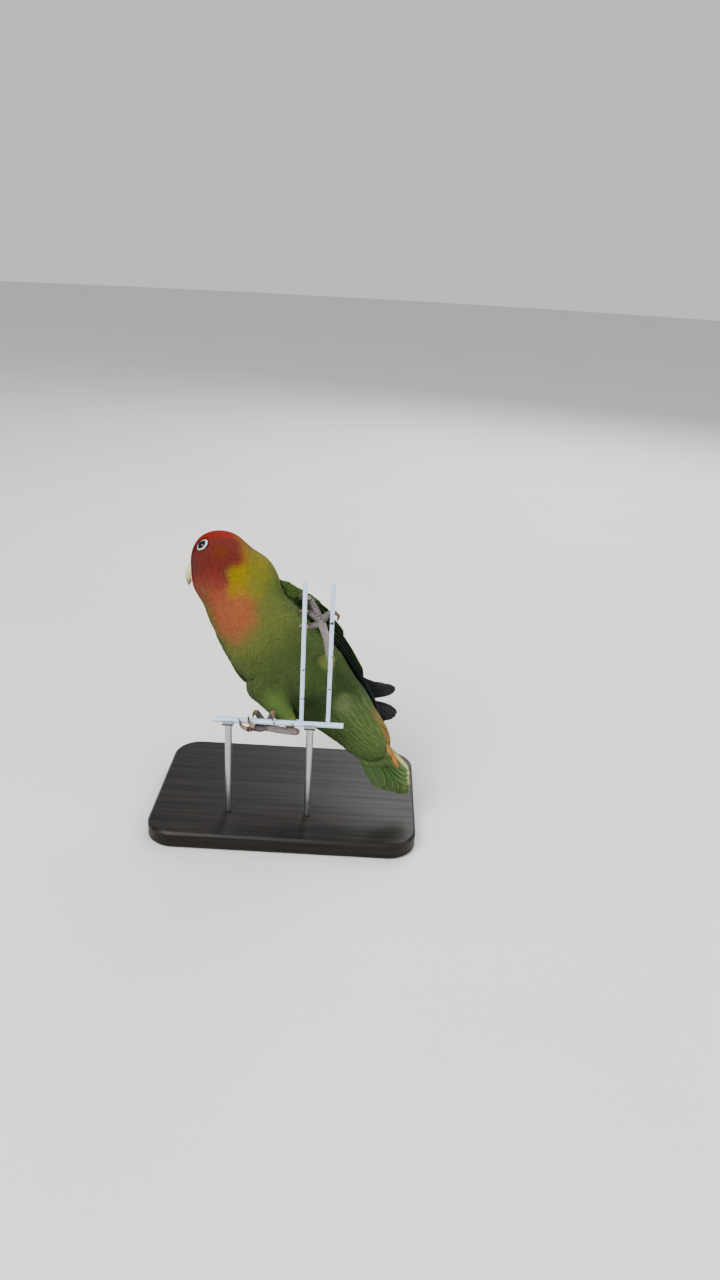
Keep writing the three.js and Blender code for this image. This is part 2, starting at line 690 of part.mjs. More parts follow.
// Flesh of the tail: place along it, half width and half depth, how far it hangs under the sheet,
// where it ends, and how much its first ring is smaller than the body
const TAIL_CORE = [[0.04, 9, 5], [0.22, 7.6, 2.6], [0.42, 5.6, 1.2]];
const TAIL_CORE_DROP = 0.9;
const TAIL_CORE_END = 0.44;
const TAIL_CORE_INSET = 0.2;
const TAIL_TIERS = [
  {
    count: 4,
    root: [[0.02, 0.5], [0.02, 0.36]],
    tip: [[1, 0.5], [0.78, 0.08]],
    width: [7.5, 6.5],
    lift: [[0, 0], [-1.35, -1.35]],
    roll: 0.15,
    rows: "long",
  },
  {
    count: 4,
    root: [[0.02, 0.56], [0.02, 0.62]],
    tip: [[0.95, 0.6], [0.76, 0.86]],
    width: [7.5, 6.5],
    lift: [[-0.45, -0.45], [-1.65, -1.65]],
    roll: -0.15,
    rows: "long",
  },
  {
    count: 3,
    root: [[-0.1, 0.2], [-0.1, 0.8]],
    tip: [[0.3, 0.2], [0.3, 0.8]],
    width: [7, 7],
    lift: [[0, 1.1], [0, 1.1]],
    roll: 0,
  },
  {
    count: 3,
    root: [[-0.1, 0.2], [-0.1, 0.8]],
    tip: [[0.4, 0.2], [0.4, 0.8]],
    width: [7.5, 7.5],
    lift: [[-2, -3], [-2, -3]],
    roll: 0,
  },
];

function tailSheet() {
  const along = TAIL_TIP.clone().sub(TAIL_ROOT);
  const root = station(CUT_TAIL);
  const unit = along.clone().normalize();
  const back = root.back.clone().addScaledVector(unit, -root.back.dot(unit)).normalize();
  const right = back.clone().cross(unit);
  const point = (s, q) => {
    const x = (2 * q - 1) * TAIL_HALF_WIDTH;
    const middle = TAIL_ROOT.clone().addScaledVector(along, s);
    return middle.addScaledVector(right, x).addScaledVector(back, -TAIL_BOW * x * x);
  };
  const slopes = (s, q) => {
    const e = SHEET_STEP;
    const across = point(s, q + e).sub(point(s, q - e)).divideScalar(2 * e);
    return { along, across, normal: across.clone().cross(along).normalize().multiplyScalar(-1) };
  };
  return { point, slopes, unit, back, right };
}

function tailPiece() {
  const surface = tailSheet();
  const root = station(CUT_TAIL - gapAlong);
  const rings = [bodyRing(root, -TAIL_CORE_INSET)];
  for (const [s, wide, thick] of TAIL_CORE) {
    const middle = surface.point(s, 0.5).addScaledVector(surface.back, -TAIL_CORE_DROP);
    rings.push(
      Array.from({ length: BODY_SIDES }, (_, k) => {
        const a = (2 * Math.PI * k) / BODY_SIDES;
        const out = middle.clone().addScaledVector(surface.back, -Math.cos(a) * thick);
        return out.addScaledVector(surface.right, -Math.sin(a) * wide);
      }),
    );
  }
  const end = surface.point(TAIL_CORE_END, 0.5).addScaledVector(surface.back, -TAIL_CORE_DROP);
  const feathers = TAIL_TIERS.flatMap((row) => tier(surface, row));
  return largest(join(solid(loft(rings, root.at, end)), feathers).subtract(bodyGrown));
}

// Perch and stand
const RAIL_SIDES = 16;
const WIRE_SIDES = 14;
const ROD_SIDES = 20;

function perch() {
  const [low, high] = RAIL_ENDS;
  const rail = new THREE.CylinderGeometry(RAIL_RADIUS, RAIL_RADIUS, high - low, RAIL_SIDES);
  rail.rotateZ(Math.PI / 2).translate((low + high) / 2, 0, 0);
  const wires = WIRE_X.map((x) => {
    const wire = new THREE.CylinderGeometry(WIRE_RADIUS, WIRE_RADIUS, WIRE_TOP, WIRE_SIDES);
    return solid(wire.rotateX(Math.PI / 2).translate(x, 0, WIRE_TOP / 2));
  });
  return join(solid(rail), wires);
}

function standRod(x) {
  const bottom = BASE_HEIGHT + GAP - RAIL_HEIGHT;
  const top = -RAIL_RADIUS;
  const rod = new THREE.CylinderGeometry(ROD_RADIUS, ROD_RADIUS, top - bottom, ROD_SIDES);
  rod.rotateX(Math.PI / 2).translate(x, 0, (top + bottom) / 2);
  const outer = RAIL_RADIUS + GAP + SADDLE_WALL;
  const saddle = new THREE.CylinderGeometry(outer, outer, SADDLE_LENGTH, ROD_SIDES);
  saddle.rotateZ(Math.PI / 2).translate(x, 0, 0);
  const inner = RAIL_RADIUS + GAP;
  const bore = new THREE.CylinderGeometry(inner, inner, SADDLE_LENGTH + 2, ROD_SIDES);
  bore.rotateZ(Math.PI / 2).translate(x, 0, 0);
  const mouth = new THREE.BoxGeometry(SADDLE_LENGTH + 2, 2 * outer + 1, outer + 1);
  mouth.translate(x, 0, (outer + 1) / 2);
  return join(solid(rod), solid(saddle)).subtract(solid(bore)).subtract(solid(mouth));
}

function standBase() {
  const x = BASE_LENGTH / 2 - BASE_BEVEL;
  const y = BASE_DEPTH / 2 - BASE_BEVEL;
  const c = BASE_CORNER;
  const outline = new THREE.Shape();
  outline.absarc(x - c, y - c, c, 0, Math.PI / 2);
  outline.absarc(c - x, y - c, c, Math.PI / 2, Math.PI);
  outline.absarc(c - x, c - y, c, Math.PI, 1.5 * Math.PI);
  outline.absarc(x - c, c - y, c, 1.5 * Math.PI, 2 * Math.PI);
  outline.closePath();
  const block = new THREE.ExtrudeGeometry(outline, {
    depth: BASE_HEIGHT - 2 * BASE_BEVEL,
    bevelThickness: BASE_BEVEL,
    bevelSize: BASE_BEVEL,
    bevelSegments: 1,
    curveSegments: 5,
  });
  return solid(block.translate(0, 0, BASE_BEVEL));
}

// Materials
function paint(color, roughness, metalness = 0) {
  return new THREE.MeshStandardMaterial({ color, roughness, metalness });
}

const MATERIALS = {
  green: paint(0x5f8a2c, 0.8),
  face: paint(0xc8452e, 0.8),
  wing: paint(0x3f6a26, 0.75),
  horn: paint(0xc9bd96, 0.45),
  eye: paint(0x1a120e, 0.1),
  skin: paint(0x8f8580, 0.6),
  claw: paint(0x4a3f36, 0.4),
  wire: paint(0xe4e8ec, 0.35),
  base: paint(0x2c2a28, 0.5),
  rod: paint(0xb8b8b8, 0.3, 1),
};

const part = new THREE.Group();
const bird = new THREE.Group();
bird.position.copy(RAIL_ORIGIN);
part.add(bird);

function place(group, name, made, material) {
  const mesh = new THREE.Mesh(backToGeometry(made), material);
  mesh.name = name;
  group.add(mesh);
}

place(bird, "head", head, MATERIALS.face);
place(bird, "neck", neck, MATERIALS.face);
place(bird, "torso", torso, MATERIALS.green);
place(bird, "tail", tailPiece(), MATERIALS.green);
place(bird, "maxilla", bill.maxilla, MATERIALS.horn);
place(bird, "mandible", bill.mandible, MATERIALS.horn);
for (const side of ["left", "right"]) {
  place(bird, "eye_" + side, eyes[side].ball, MATERIALS.eye);
  place(bird, "wing_" + side, wings[side], MATERIALS.wing);
  place(bird, "thigh_" + side, legs[side].thigh, MATERIALS.green);
  place(bird, "foot_" + side, legs[side].foot, MATERIALS.skin);
  legs[side].claws.forEach((claw, i) => {
    place(bird, "claw_" + side + "_" + (i + 1), claw, MATERIALS.claw);
  });
}
place(bird, "perch_wire", perch(), MATERIALS.wire);
ROD_X.forEach((x, i) => place(bird, "stand_rod_" + (i + 1), standRod(x), MATERIALS.rod));
place(part, "stand_base", standBase(), MATERIALS.base);

export default part;
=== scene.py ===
# A peach-faced lovebird climbing on a short length of cage wire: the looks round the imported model.
# The bird's own measurements are millimetres in the cross wire's frame, and meshes are made in metres.
import itertools
import math

import bpy
import numpy as np
from mathutils import Matrix, Vector

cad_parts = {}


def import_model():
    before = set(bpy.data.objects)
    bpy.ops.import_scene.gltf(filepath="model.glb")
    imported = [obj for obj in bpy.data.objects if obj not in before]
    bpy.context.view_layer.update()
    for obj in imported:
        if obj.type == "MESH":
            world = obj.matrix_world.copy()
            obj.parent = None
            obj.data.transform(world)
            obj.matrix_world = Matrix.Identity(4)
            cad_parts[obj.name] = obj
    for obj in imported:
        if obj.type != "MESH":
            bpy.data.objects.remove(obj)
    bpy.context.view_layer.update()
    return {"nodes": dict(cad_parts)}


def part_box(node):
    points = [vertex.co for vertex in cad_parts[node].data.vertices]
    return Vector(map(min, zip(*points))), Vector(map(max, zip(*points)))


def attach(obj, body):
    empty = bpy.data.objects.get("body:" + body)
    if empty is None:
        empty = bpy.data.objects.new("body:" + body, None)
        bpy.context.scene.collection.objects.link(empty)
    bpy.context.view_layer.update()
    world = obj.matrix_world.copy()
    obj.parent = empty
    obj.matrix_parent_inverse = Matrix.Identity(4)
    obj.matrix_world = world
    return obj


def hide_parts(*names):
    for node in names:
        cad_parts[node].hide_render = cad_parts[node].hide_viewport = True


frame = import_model()
MM = 0.001
SEED = 11
rng = np.random.default_rng(SEED)

# The cross wire, as in the solids: it places the wire's frame in the model
RAIL_RADIUS = 1.3
RAIL_START = -25
wire_low, wire_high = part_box("perch_wire")
RAIL = np.array([
    wire_low.x / MM - RAIL_START,
    (wire_low.y + wire_high.y) / 2 / MM,
    wire_low.z / MM + RAIL_RADIUS,
])

# Body, as in the solids: a spine from vent to nape, masses round it, and four in the head
SPINE = [
    (41, 20, -12), (31, 25, -4), (17, 30, 7), (3.5, 33, 20),
    (-8.5, 36, 34), (-18, 39.5, 48), (-26, 42, 60),
]
BACKWARD = np.array([0, 1, -0.1])
MASSES = [
    {"u": 0.0, "left": 0.5, "back": 0, "size": (18, 11.8, 7.5)},
    {"u": 0.16, "left": 1, "back": 0, "size": (19, 15.2, 12)},
    {"u": 0.36, "left": 0.3, "back": 0, "size": (25, 20.5, 17.5)},
    {"u": 0.59, "left": -1.5, "back": 0, "size": (25, 21.2, 18.5)},
    {"u": 0.78, "left": -2, "back": -0.5, "size": (19, 18, 16.5)},
    {"u": 0.87, "left": 5.4, "back": 3.2, "size": (16, 13.2, 13.9)},
    {"u": 0.9, "left": -8, "back": -2, "size": (11, 8.5, 9)},
]
MASS_BLEND = 5
THIGH_BLEND = 4
HEAD_AT = np.array([-27.8, 42, 61.4])
HEAD_FORWARD = (-0.94, 0.29, -0.17)
HEAD_UP = (0.07, 0.66, 0.75)
SKULL = {"at": (-1, 0, 0.5), "size": (13.2, 12.5, 13.2)}
BROW = {"at": (3, 0, 3), "size": (9.2, 11.5, 8.8)}
FACE = {"at": (2.3, 0, -3.5), "size": (9.5, 10.8, 9.8)}
CHIN = {"at": (1.5, 0, -11), "size": (9, 9, 8.5)}
EYE_RADIUS = 2.7
EYE_DEPTH = 1.9
EYE_DIRECTION = (0.3, 0.93, 0.17)
# Sections of the bill: place forward and up in the head, half width, half height, lean in degrees
MAXILLA = [
    (6, -2.2, 4.4, 4.9, 0),
    (9, -1.9, 4.4, 4.7, -6),
    (11.6, -2.4, 4.0, 4.2, -20),
    (13.8, -4.2, 3.2, 3.4, -46),
    (14.9, -7.0, 2.2, 2.5, -74),
    (14.9, -9.8, 1.2, 1.4, -92),
    (14.3, -12, 0.4, 0.5, -105),
]
MANDIBLE = [
    (5.5, -8.2, 3.7, 2.9, 0),
    (8.6, -8.6, 3.8, 2.8, 2),
    (11, -8.9, 3.3, 2.3, 10),
    (12.6, -8.7, 2.3, 1.5, 25),
    (13.4, -8.2, 1.1, 0.6, 40),
]

# Legs, as in the solids; each toe goes on from the end of the shank
LEGS = {
    "left": {
        "thigh": [(27, 27, 2), (18, 18, 13), (26.2, 11, 27.5)],
        "thigh_radii": (9.5, 10.5, 3.4),
        "shank": [(26.2, 11, 27.5), (24.5, 6.5, 40), (22, 4.4, 48)],
        "toes": [
            [(19.5, 3.9, 54), (17.2, 3.4, 58.5)],
            [(19, 4.2, 51), (16.8, 3.7, 52.5)],
            [(19.5, 4.4, 46.5), (17, 3.9, 46)],
            [(24.5, 4.2, 51.5), (27, 3.4, 53.2)],
        ],
        "claws": [
            [(16.6, 2.6, 59.6), (13.6, 2.2, 60.6), (12.6, -0.6, 60.2)],
            [(15.6, 3.2, 53), (12.9, 1.6, 53.4), (12.9, -1.6, 52.2)],
            [(16, 3.2, 46), (13, 1.8, 46.4), (12.9, -1.0, 46.8)],
            [(28, 3, 53.4), (29.6, 1, 52.8), (29.2, -1.6, 51.4)],
        ],
    },
    "right": {
        "thigh": [(14, 27, 2), (-4.5, 17, 9.5), (9.5, 9.5, -4.8)],
        "thigh_radii": (10, 7.5, 3.4),
        "shank": [(12.3, 7, -8), (5.5, 6.2, -7.2), (-1.2, 5.0, -5.2)],
        "toes": [
            [(-3.6, 1.2, -4.4), (-5.4, -2.2, -2.6)],
            [(-5.4, 3.0, -4.6), (-9, -0.8, -4.0)],
            [(0.6, 5.2, -0.6), (1.6, 3.4, 2.8)],
            [(-4.2, 5.4, -0.8), (-5.6, 3.4, 2.8)],
        ],
        "claws": [
            [(-6.6, -2.8, -1.2), (-8.2, -3.4, 1.2), (-8.8, -1.4, 3.0)],
            [(-10, -2.4, -2.8), (-11.8, -3.4, -0.6), (-12.6, -2.2, 1.8)],
            [(2, 1.8, 3.9), (2.4, -1.2, 4), (2.4, -3.2, 2.2)],
            [(-6, 1.8, 3.9), (-6.4, -1.0, 4.2), (-6.6, -2.9, 3.4)],
        ],
    },
}
CLAW_RADII = (0.95, 0.7, 0.2)

# Wings, as in the solids: four lines of place along the spine, degrees round it and distance out
WINGS = {
    "left": [
        [(0.8, 97, 18.6), (0.6, 99, 20), (0.38, 99, 21.5), (0.13, 117, 18.8), (-0.12, 158, 10.5)],
        [(0.785, 106, 21.5), (0.6, 102, 28.6), (0.38, 104, 28.2), (0.14, 116, 20.8), (-0.12, 162, 11)],
        [(0.8, 131, 20), (0.6, 128, 26.5), (0.36, 130, 26.5), (0.13, 145, 19.5), (-0.1, 175, 11.5)],
        [(0.8, 165, 17.8), (0.6, 164, 20), (0.38, 165, 19.5), (0.15, 178, 15.4), (-0.06, 192, 12.2)],
    ],
    "right": [
        [(0.8, -96, 20.5), (0.6, -95, 23.2), (0.38, -104, 23.2), (0.13, -160, 18.5), (-0.09, -212, 19.5)],
        [(0.785, -106, 22.5), (0.6, -100, 25.2), (0.38, -112, 24.6), (0.15, -165, 20.8), (-0.09, -222, 22.4)],
        [(0.8, -130, 21.5), (0.6, -128, 24.3), (0.36, -138, 23.5), (0.18, -180, 22.4), (-0.015, -230, 27.5)],
        [(0.8, -163, 18), (0.6, -164, 20), (0.38, -170, 20.8), (0.22, -200, 23), (0.05, -232, 31)],
    ],
}
TAIL_ROOT = np.array([42, 20, -13])
TAIL_TIP = np.array([66, 8.3, -38.6])
TAIL_HALF_WIDTH = 9.5
TAIL_BOW = 0.018
CUT_TAIL = 0.03

# Camera, measured from the photo in the cross wire's frame; the image is 720 by 1280
CAMERA_AT = (39.4, -369.0, 196.1)
CAMERA_DOWN = math.radians(22.6)
CAMERA_ROLL = math.radians(3.2)
FOCAL_PIXELS = 921
IMAGE_HEIGHT = 1280
SENSOR = 36


def srgb(red, green, blue):
    """A colour given as 0 to 255, as linear light."""
    c = np.array([red, green, blue]) / 255
    return np.where(c <= 0.04045, c / 12.92, ((c + 0.055) / 1.055) ** 2.4)


def unit(v):
    return v / np.linalg.norm(v, axis=-1, keepdims=True)


def mix(a, b, t):
    return a + (b - a) * t


def smooth(x, low, high):
    t = np.clip((x - low) / (high - low), 0, 1)
    return t * t * (3 - 2 * t)


def dot(a, b):
    return np.sum(a * b, axis=-1, keepdims=True)


# Curves and the spine

def catmull(points, t, power):
    """A curve through points (..., n, 3) at t (...): power 0.5 is centripetal, 0 is uniform."""
    points = np.broadcast_to(points, t.shape + points.shape[-2:])
    ahead = 2 * points[..., :1, :] - points[..., 1:2, :]
    behind = 2 * points[..., -1:, :] - points[..., -2:-1, :]
    p = np.concatenate([ahead, points, behind], axis=-2)
    spans = points.shape[-2] - 1
    x = np.clip(t, 0, 1) * spans
    i = np.minimum(x.astype(int), spans - 1)
    w = (x - i)[..., None]
    near = [(i + k)[..., None, None] for k in range(4)]
    a, b, c, d = (np.take_along_axis(p, k, axis=-2)[..., 0, :] for k in near)
    ab, bc, cd = (np.linalg.norm(v, axis=-1, keepdims=True) ** power for v in (b - a, c - b, d - c))
    leave = ((b - a) / ab - (c - a) / (ab + bc) + (c - b) / bc) * bc
    arrive = ((c - b) / bc - (d - b) / (bc + cd) + (d - c) / cd) * bc
    square = 3 * (c - b) - 2 * leave - arrive
    cube = 2 * (b - c) + leave + arrive
    return b + leave * w + square * w**2 + cube * w**3


SPINE_POINTS = np.array(SPINE, float)
spine_steps = np.linspace(0, 1, 201)
spine_marks = catmull(SPINE_POINTS, spine_steps, 0.5)
spine_lengths = np.concatenate([[0], np.cumsum(np.linalg.norm(np.diff(spine_marks, axis=0), axis=1))])
SPINE_LENGTH = spine_lengths[-1]


def station(u):
    """Point, headward, back and left directions at places along the spine, straight on past its ends."""
    u = np.asarray(u, float)
    inside = np.clip(u, 0, 1)
    t = np.interp(inside, spine_lengths / SPINE_LENGTH, spine_steps)
    step = 1e-4
    ends = [catmull(SPINE_POINTS, np.clip(t + k, 0, 1), 0.5) for k in (-step, step)]
    along = unit(ends[1] - ends[0])
    at = catmull(SPINE_POINTS, t, 0.5) + along * ((u - inside) * SPINE_LENGTH)[..., None]
    backward = unit(BACKWARD)
    back = unit(backward - along * dot(along, backward))
    return at, along, back, np.cross(back, along)


def around(back, left, degrees):
    a = np.radians(degrees)[..., None]
    return -back * np.cos(a) + left * np.sin(a)


head_forward = unit(np.array(HEAD_FORWARD))
head_up = unit(np.array(HEAD_UP) - head_forward * np.dot(HEAD_UP, head_forward))
head_left = np.cross(head_up, head_forward)
HEAD_AXES = np.array([head_forward, head_left, head_up])


def in_head(f, l, u):
    return HEAD_AT + np.stack(np.broadcast_arrays(f, l, u), -1) @ HEAD_AXES


# The body's field: a distance-like value, negative inside the coat's outer face

def body_masses():
    masses = []
    for mass in MASSES:
        at, along, back, left = station(mass["u"])
        axes = np.array([along, left, back])
        masses.append((at + left * mass["left"] + back * mass["back"], axes, np.array(mass["size"])))
    for mass in (SKULL, BROW, FACE, CHIN):
        masses.append((in_head(*mass["at"]), HEAD_AXES, np.array(mass["size"])))
    return masses


BODY = body_masses()


def from_ellipsoid(p, mass):
    at, axes, size = mass
    local = (p - at) @ axes.T
    near = np.linalg.norm(local / size, axis=-1)
    steep = np.linalg.norm(local / size**2, axis=-1)
    return near * (near - 1) / np.maximum(steep, 1e-9)


def from_cone(p, a, b, wide, narrow):
    a, b = np.array(a, float), np.array(b, float)
    t = np.clip((p - a) @ (b - a) / np.dot(b - a, b - a), 0, 1)
    return np.linalg.norm(p - a - t[..., None] * (b - a), axis=-1) - mix(wide, narrow, t)


def soft_min(a, b, soft):
    h = np.clip(0.5 + 0.5 * (b - a) / soft, 0, 1)
    return b * (1 - h) + a * h - soft * h * (1 - h)


def body_field(p):
    value = from_ellipsoid(p, BODY[0])
    for mass in BODY[1:]:
        value = soft_min(value, from_ellipsoid(p, mass), MASS_BLEND)
    return value


def thigh_field(p, leg):
    hip, knee, ankle = leg["thigh"]
    wide, middle, narrow = leg["thigh_radii"]
    return soft_min(from_cone(p, hip, knee, wide, middle), from_cone(p, knee, ankle, middle, narrow), 1)


def coat_field(p):
    value = body_field(p)
    for leg in LEGS.values():
        value = soft_min(value, thigh_field(p, leg), THIGH_BLEND)
    return value


def slope(p, field=coat_field, step=0.05):
    sides = [(field(p + d * step) - field(p - d * step)) / (2 * step) for d in np.eye(3)]
    return np.stack(sides, -1)


def snap(p, level, rounds=3):
    """Moves points on to the coat field's surface at a level."""
    for _ in range(rounds):
        g = slope(p)
        p = p - g * ((coat_field(p) - level) / np.maximum(np.sum(g * g, -1), 1e-6))[..., None]
    return p


REACH_START = 2
REACH_END = 60
HALVINGS = 14


def reach(origin, direction, field):
    """Distance from inner points to the field's zero along directions."""
    near = np.full(origin.shape[:-1], float(REACH_START))
    inside = np.ones(near.shape, bool)
    for far in range(REACH_START + 1, REACH_END):
        inside &= field(origin + direction * far) < 0
        near = np.where(inside, far, near)
    far = near + 1
    for _ in range(HALVINGS):
        middle = (near + far) / 2
        inner = field(origin + direction * middle[..., None]) < 0
        near, far = np.where(inner, middle, near), np.where(inner, far, middle)
    return (near + far) / 2


# Meshes

def world(points):
    return (points + RAIL) * MM


def new_mesh(name, points, faces):
    """A smooth mesh from points in the wire's frame and arrays of faces with three or four corners."""
    mesh = bpy.data.meshes.new(name)
    mesh.vertices.add(len(points))
    mesh.vertices.foreach_set("co", world(points).astype(np.float32).ravel())
    corners = np.concatenate([f.ravel() for f in faces]).astype(np.int32)
    sizes = np.concatenate([np.full(len(f), f.shape[1]) for f in faces])
    starts = np.concatenate([[0], np.cumsum(sizes)[:-1]]).astype(np.int32)
    mesh.loops.add(len(corners))
    mesh.polygons.add(len(sizes))
    mesh.polygons.foreach_set("loop_start", starts)
    mesh.polygons.foreach_set("vertices", corners)
    mesh.update(calc_edges=True)
    mesh.validate()
    mesh.polygons.foreach_set("use_smooth", np.ones(len(mesh.polygons), bool))
    return mesh


def paint(mesh, colours, name="marking"):
    """Stores one colour for each vertex."""
    layer = mesh.attributes.new(name, "FLOAT_COLOR", "POINT")
    rgba = np.concatenate([np.clip(colours, 0, 1), np.ones((len(colours), 1))], axis=1)
    layer.data.foreach_set("color", rgba.astype(np.float32).ravel())


def map_uv(mesh, name, uv):
    layer = mesh.uv_layers.new(name=name)
    corners = np.empty(len(mesh.loops), np.int32)
    mesh.loops.foreach_get("vertex_index", corners)
    layer.data.foreach_set("uv", uv[corners].astype(np.float32).ravel())


def piece(name, mesh, material, slot, *nodes):
    """A shown piece that rides with the body of the model and stands for CAD nodes."""
    obj = bpy.data.objects.new(name, mesh)
    bpy.context.scene.collection.objects.link(obj)
    mesh.materials.clear()
    mesh.materials.append(material)
    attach(obj, "root")
    if nodes:
        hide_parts(*nodes)
    return obj


def places(mesh):
    """The vertices of a mesh in the wire's frame."""
    co = np.empty(len(mesh.vertices) * 3, np.float32)
    mesh.vertices.foreach_get("co", co)
    return co.reshape(-1, 3) / MM - RAIL


def move(mesh, points):
    """Puts a mesh's vertices at points in the wire's frame."""
    mesh.vertices.foreach_set("co", world(points).astype(np.float32).ravel())
    mesh.update()


def ring_faces(rings, count):
    """Faces between rings of points, and fans at both ends to two points that come after the rings."""
    k = np.arange(count)
    r = np.arange(rings - 1)[:, None]
    a, b = r * count + k, r * count + (k + 1) % count
    quads = np.stack([a, b, b + count, a + count], -1).reshape(-1, 4)
    first, last = rings * count, rings * count + 1
    top = (rings - 1) * count
    fans = [
        np.stack([np.full(count, first), (k + 1) % count, k], -1),
        np.stack([np.full(count, last), top + k, top + (k + 1) % count], -1),
    ]
    return [quads, np.concatenate(fans)]


def loft_mesh(name, rings, start, end):
    """A closed mesh from rings (n, count, 3) and two end points."""
    points = np.concatenate([rings.reshape(-1, 3), [start], [end]])
    return new_mesh(name, points, ring_faces(rings.shape[0], rings.shape[1]))


def tube_rings(points, radii, sides, steps, shape=None):
    """Rings of a round limb through points, with round ends; shape(t, angle) scales the radius."""
    points = np.array(points, float)
    cap = 5
    inner = np.linspace(0, 1, steps)
    bend = np.sin(np.linspace(0, np.pi / 2, cap + 1)[1:-1])
    t = np.concatenate([np.zeros(cap - 1), inner, np.ones(cap - 1)])
    push = np.concatenate([-bend[::-1], np.zeros(steps), bend])
    at = catmull(points, t, 0.5)
    step = 1e-3
    before, after = (catmull(points, np.clip(t + k, 0, 1), 0.5) for k in (-step, step))
    along = unit(after - before)
    radius = np.interp(t, np.linspace(0, 1, len(radii)), radii)
    across = np.empty_like(at)
    side = np.array([0, 0, 1.0]) if abs(along[0, 2]) < 0.9 else np.array([1.0, 0, 0])
    for i, way in enumerate(along):
        side = unit(side - way * np.dot(side, way))
        across[i] = side
    over = np.cross(along, across)
    angle = np.linspace(0, 2 * np.pi, sides, endpoint=False)
    shrink = np.sqrt(np.maximum(1 - push**2, 0))
    swell = np.ones((len(t), sides)) if shape is None else shape(t[:, None], angle)
    size = (radius * shrink)[:, None] * swell
    middle = at + along * (push * radius)[:, None]
    ring = across[:, None] * np.cos(angle)[:, None] + over[:, None] * np.sin(angle)[:, None]
    rings = middle[:, None] + ring * size[..., None]
    return rings, at[0] - along[0] * radius[0], at[-1] + along[-1] * radius[-1]


def tube_mesh(name, *args, **kwargs):
    rings, start, end = tube_rings(*args, **kwargs)
    return loft_mesh(name, rings, start, end)


def fuse(name, meshes, voxel, rounds):
    """One closed mesh from meshes that overlap, remeshed at a voxel size in mm and smoothed."""
    points, faces, offset = [], [], 0
    for mesh in meshes:
        points.append(places(mesh))
        faces += [np.array(p.vertices)[None] + offset for p in mesh.polygons]
        offset += len(mesh.vertices)
    quads = [f for f in faces if f.shape[1] == 4]
    tris = [f for f in faces if f.shape[1] == 3]
    groups = [np.concatenate(g) for g in (quads, tris) if g]
    joined = new_mesh(name + "_parts", np.concatenate(points), groups)
    obj = bpy.data.objects.new(name + "_parts", joined)
    bpy.context.scene.collection.objects.link(obj)
    remesh = obj.modifiers.new("remesh", "REMESH")
    remesh.mode = "VOXEL"
    remesh.voxel_size = voxel * MM
    relax = obj.modifiers.new("relax", "SMOOTH")
    relax.factor = 0.5
    relax.iterations = rounds
    evaluated = obj.evaluated_get(bpy.context.evaluated_depsgraph_get())
    mesh = bpy.data.meshes.new_from_object(evaluated)
    mesh.name = name
    bpy.data.objects.remove(obj)
    mesh.polygons.foreach_set("use_smooth", np.ones(len(mesh.polygons), bool))
    return mesh


# Materials

# Radians of the barbs' wave to a mm, and how far they slant off the shaft
BARB_WAVE = 22.0
BARB_SLANT = 1.3


def new_material(name, constants=()):
    """A material, its tree and its shader, with constants set on the shader's sockets."""
    material = bpy.data.materials.new(name)
    material.use_nodes = True
    shader = material.node_tree.nodes["Principled BSDF"]
    for socket, value in dict(constants).items():
        shader.inputs[socket].default_value = value
    return material, material.node_tree, shader


def add(tree, kind, inputs=(), **settings):
    node = tree.nodes.new(kind)
    for key, value in settings.items():
        setattr(node, key, value)
    for key, value in dict(inputs).items():
        if isinstance(value, bpy.types.NodeSocket):
            tree.links.new(value, node.inputs[key])
        else:
            node.inputs[key].default_value = value
    return node


def calculate(tree, operation, *values):
    return add(tree, "ShaderNodeMath", enumerate(values), operation=operation).outputs[0]


def ramp(tree, factor, low, high):
    """A ramp between two stops: each a place on the factor, and a colour or one number for a grey."""
    node = add(tree, "ShaderNodeValToRGB", {0: factor})
    for element, (place, tone) in zip(node.color_ramp.elements, (low, high)):
        element.position = place
        element.color = (*np.broadcast_to(tone, 3), 1)
    return node.outputs["Color"]


def place_on(tree):
    return add(tree, "ShaderNodeTexCoord").outputs["Object"]


def noise(tree, scale, detail=3, stretch=None):
    """Noise over an object's own coordinates, or over these stretched along each axis."""
    place = place_on(tree)
    if stretch:
        place = add(tree, "ShaderNodeMapping", {"Vector": place, "Scale": stretch}).outputs[0]
    return add(tree, "ShaderNodeTexNoise", {"Vector": place, "Scale": scale, "Detail": detail}).outputs[0]


def tint(tree, shader, colour):
    tree.links.new(colour, shader.inputs["Base Color"])


def show_marking(tree, shader, *shades):
    """The mesh's own marking as its colour, multiplied by shades."""
    colour = add(tree, "ShaderNodeAttribute", attribute_name="marking").outputs["Color"]
    for shade in shades:
        inputs = {0: 1.0, 6: colour, 7: shade}
        colour = add(tree, "ShaderNodeMix", inputs, data_type="RGBA", blend_type="MULTIPLY").outputs[2]
    tint(tree, shader, colour)


def vary_roughness(tree, shader, factor, low, high):
    node = add(tree, "ShaderNodeMapRange", {"Value": factor, "To Min": low, "To Max": high})
    tree.links.new(node.outputs[0], shader.inputs["Roughness"])


def bump(tree, shader, height, strength, distance, invert=False):
    inputs = {"Height": height, "Strength": strength, "Distance": distance * MM}
    node = add(tree, "ShaderNodeBump", inputs, invert=invert)
    tree.links.new(node.outputs[0], shader.inputs["Normal"])


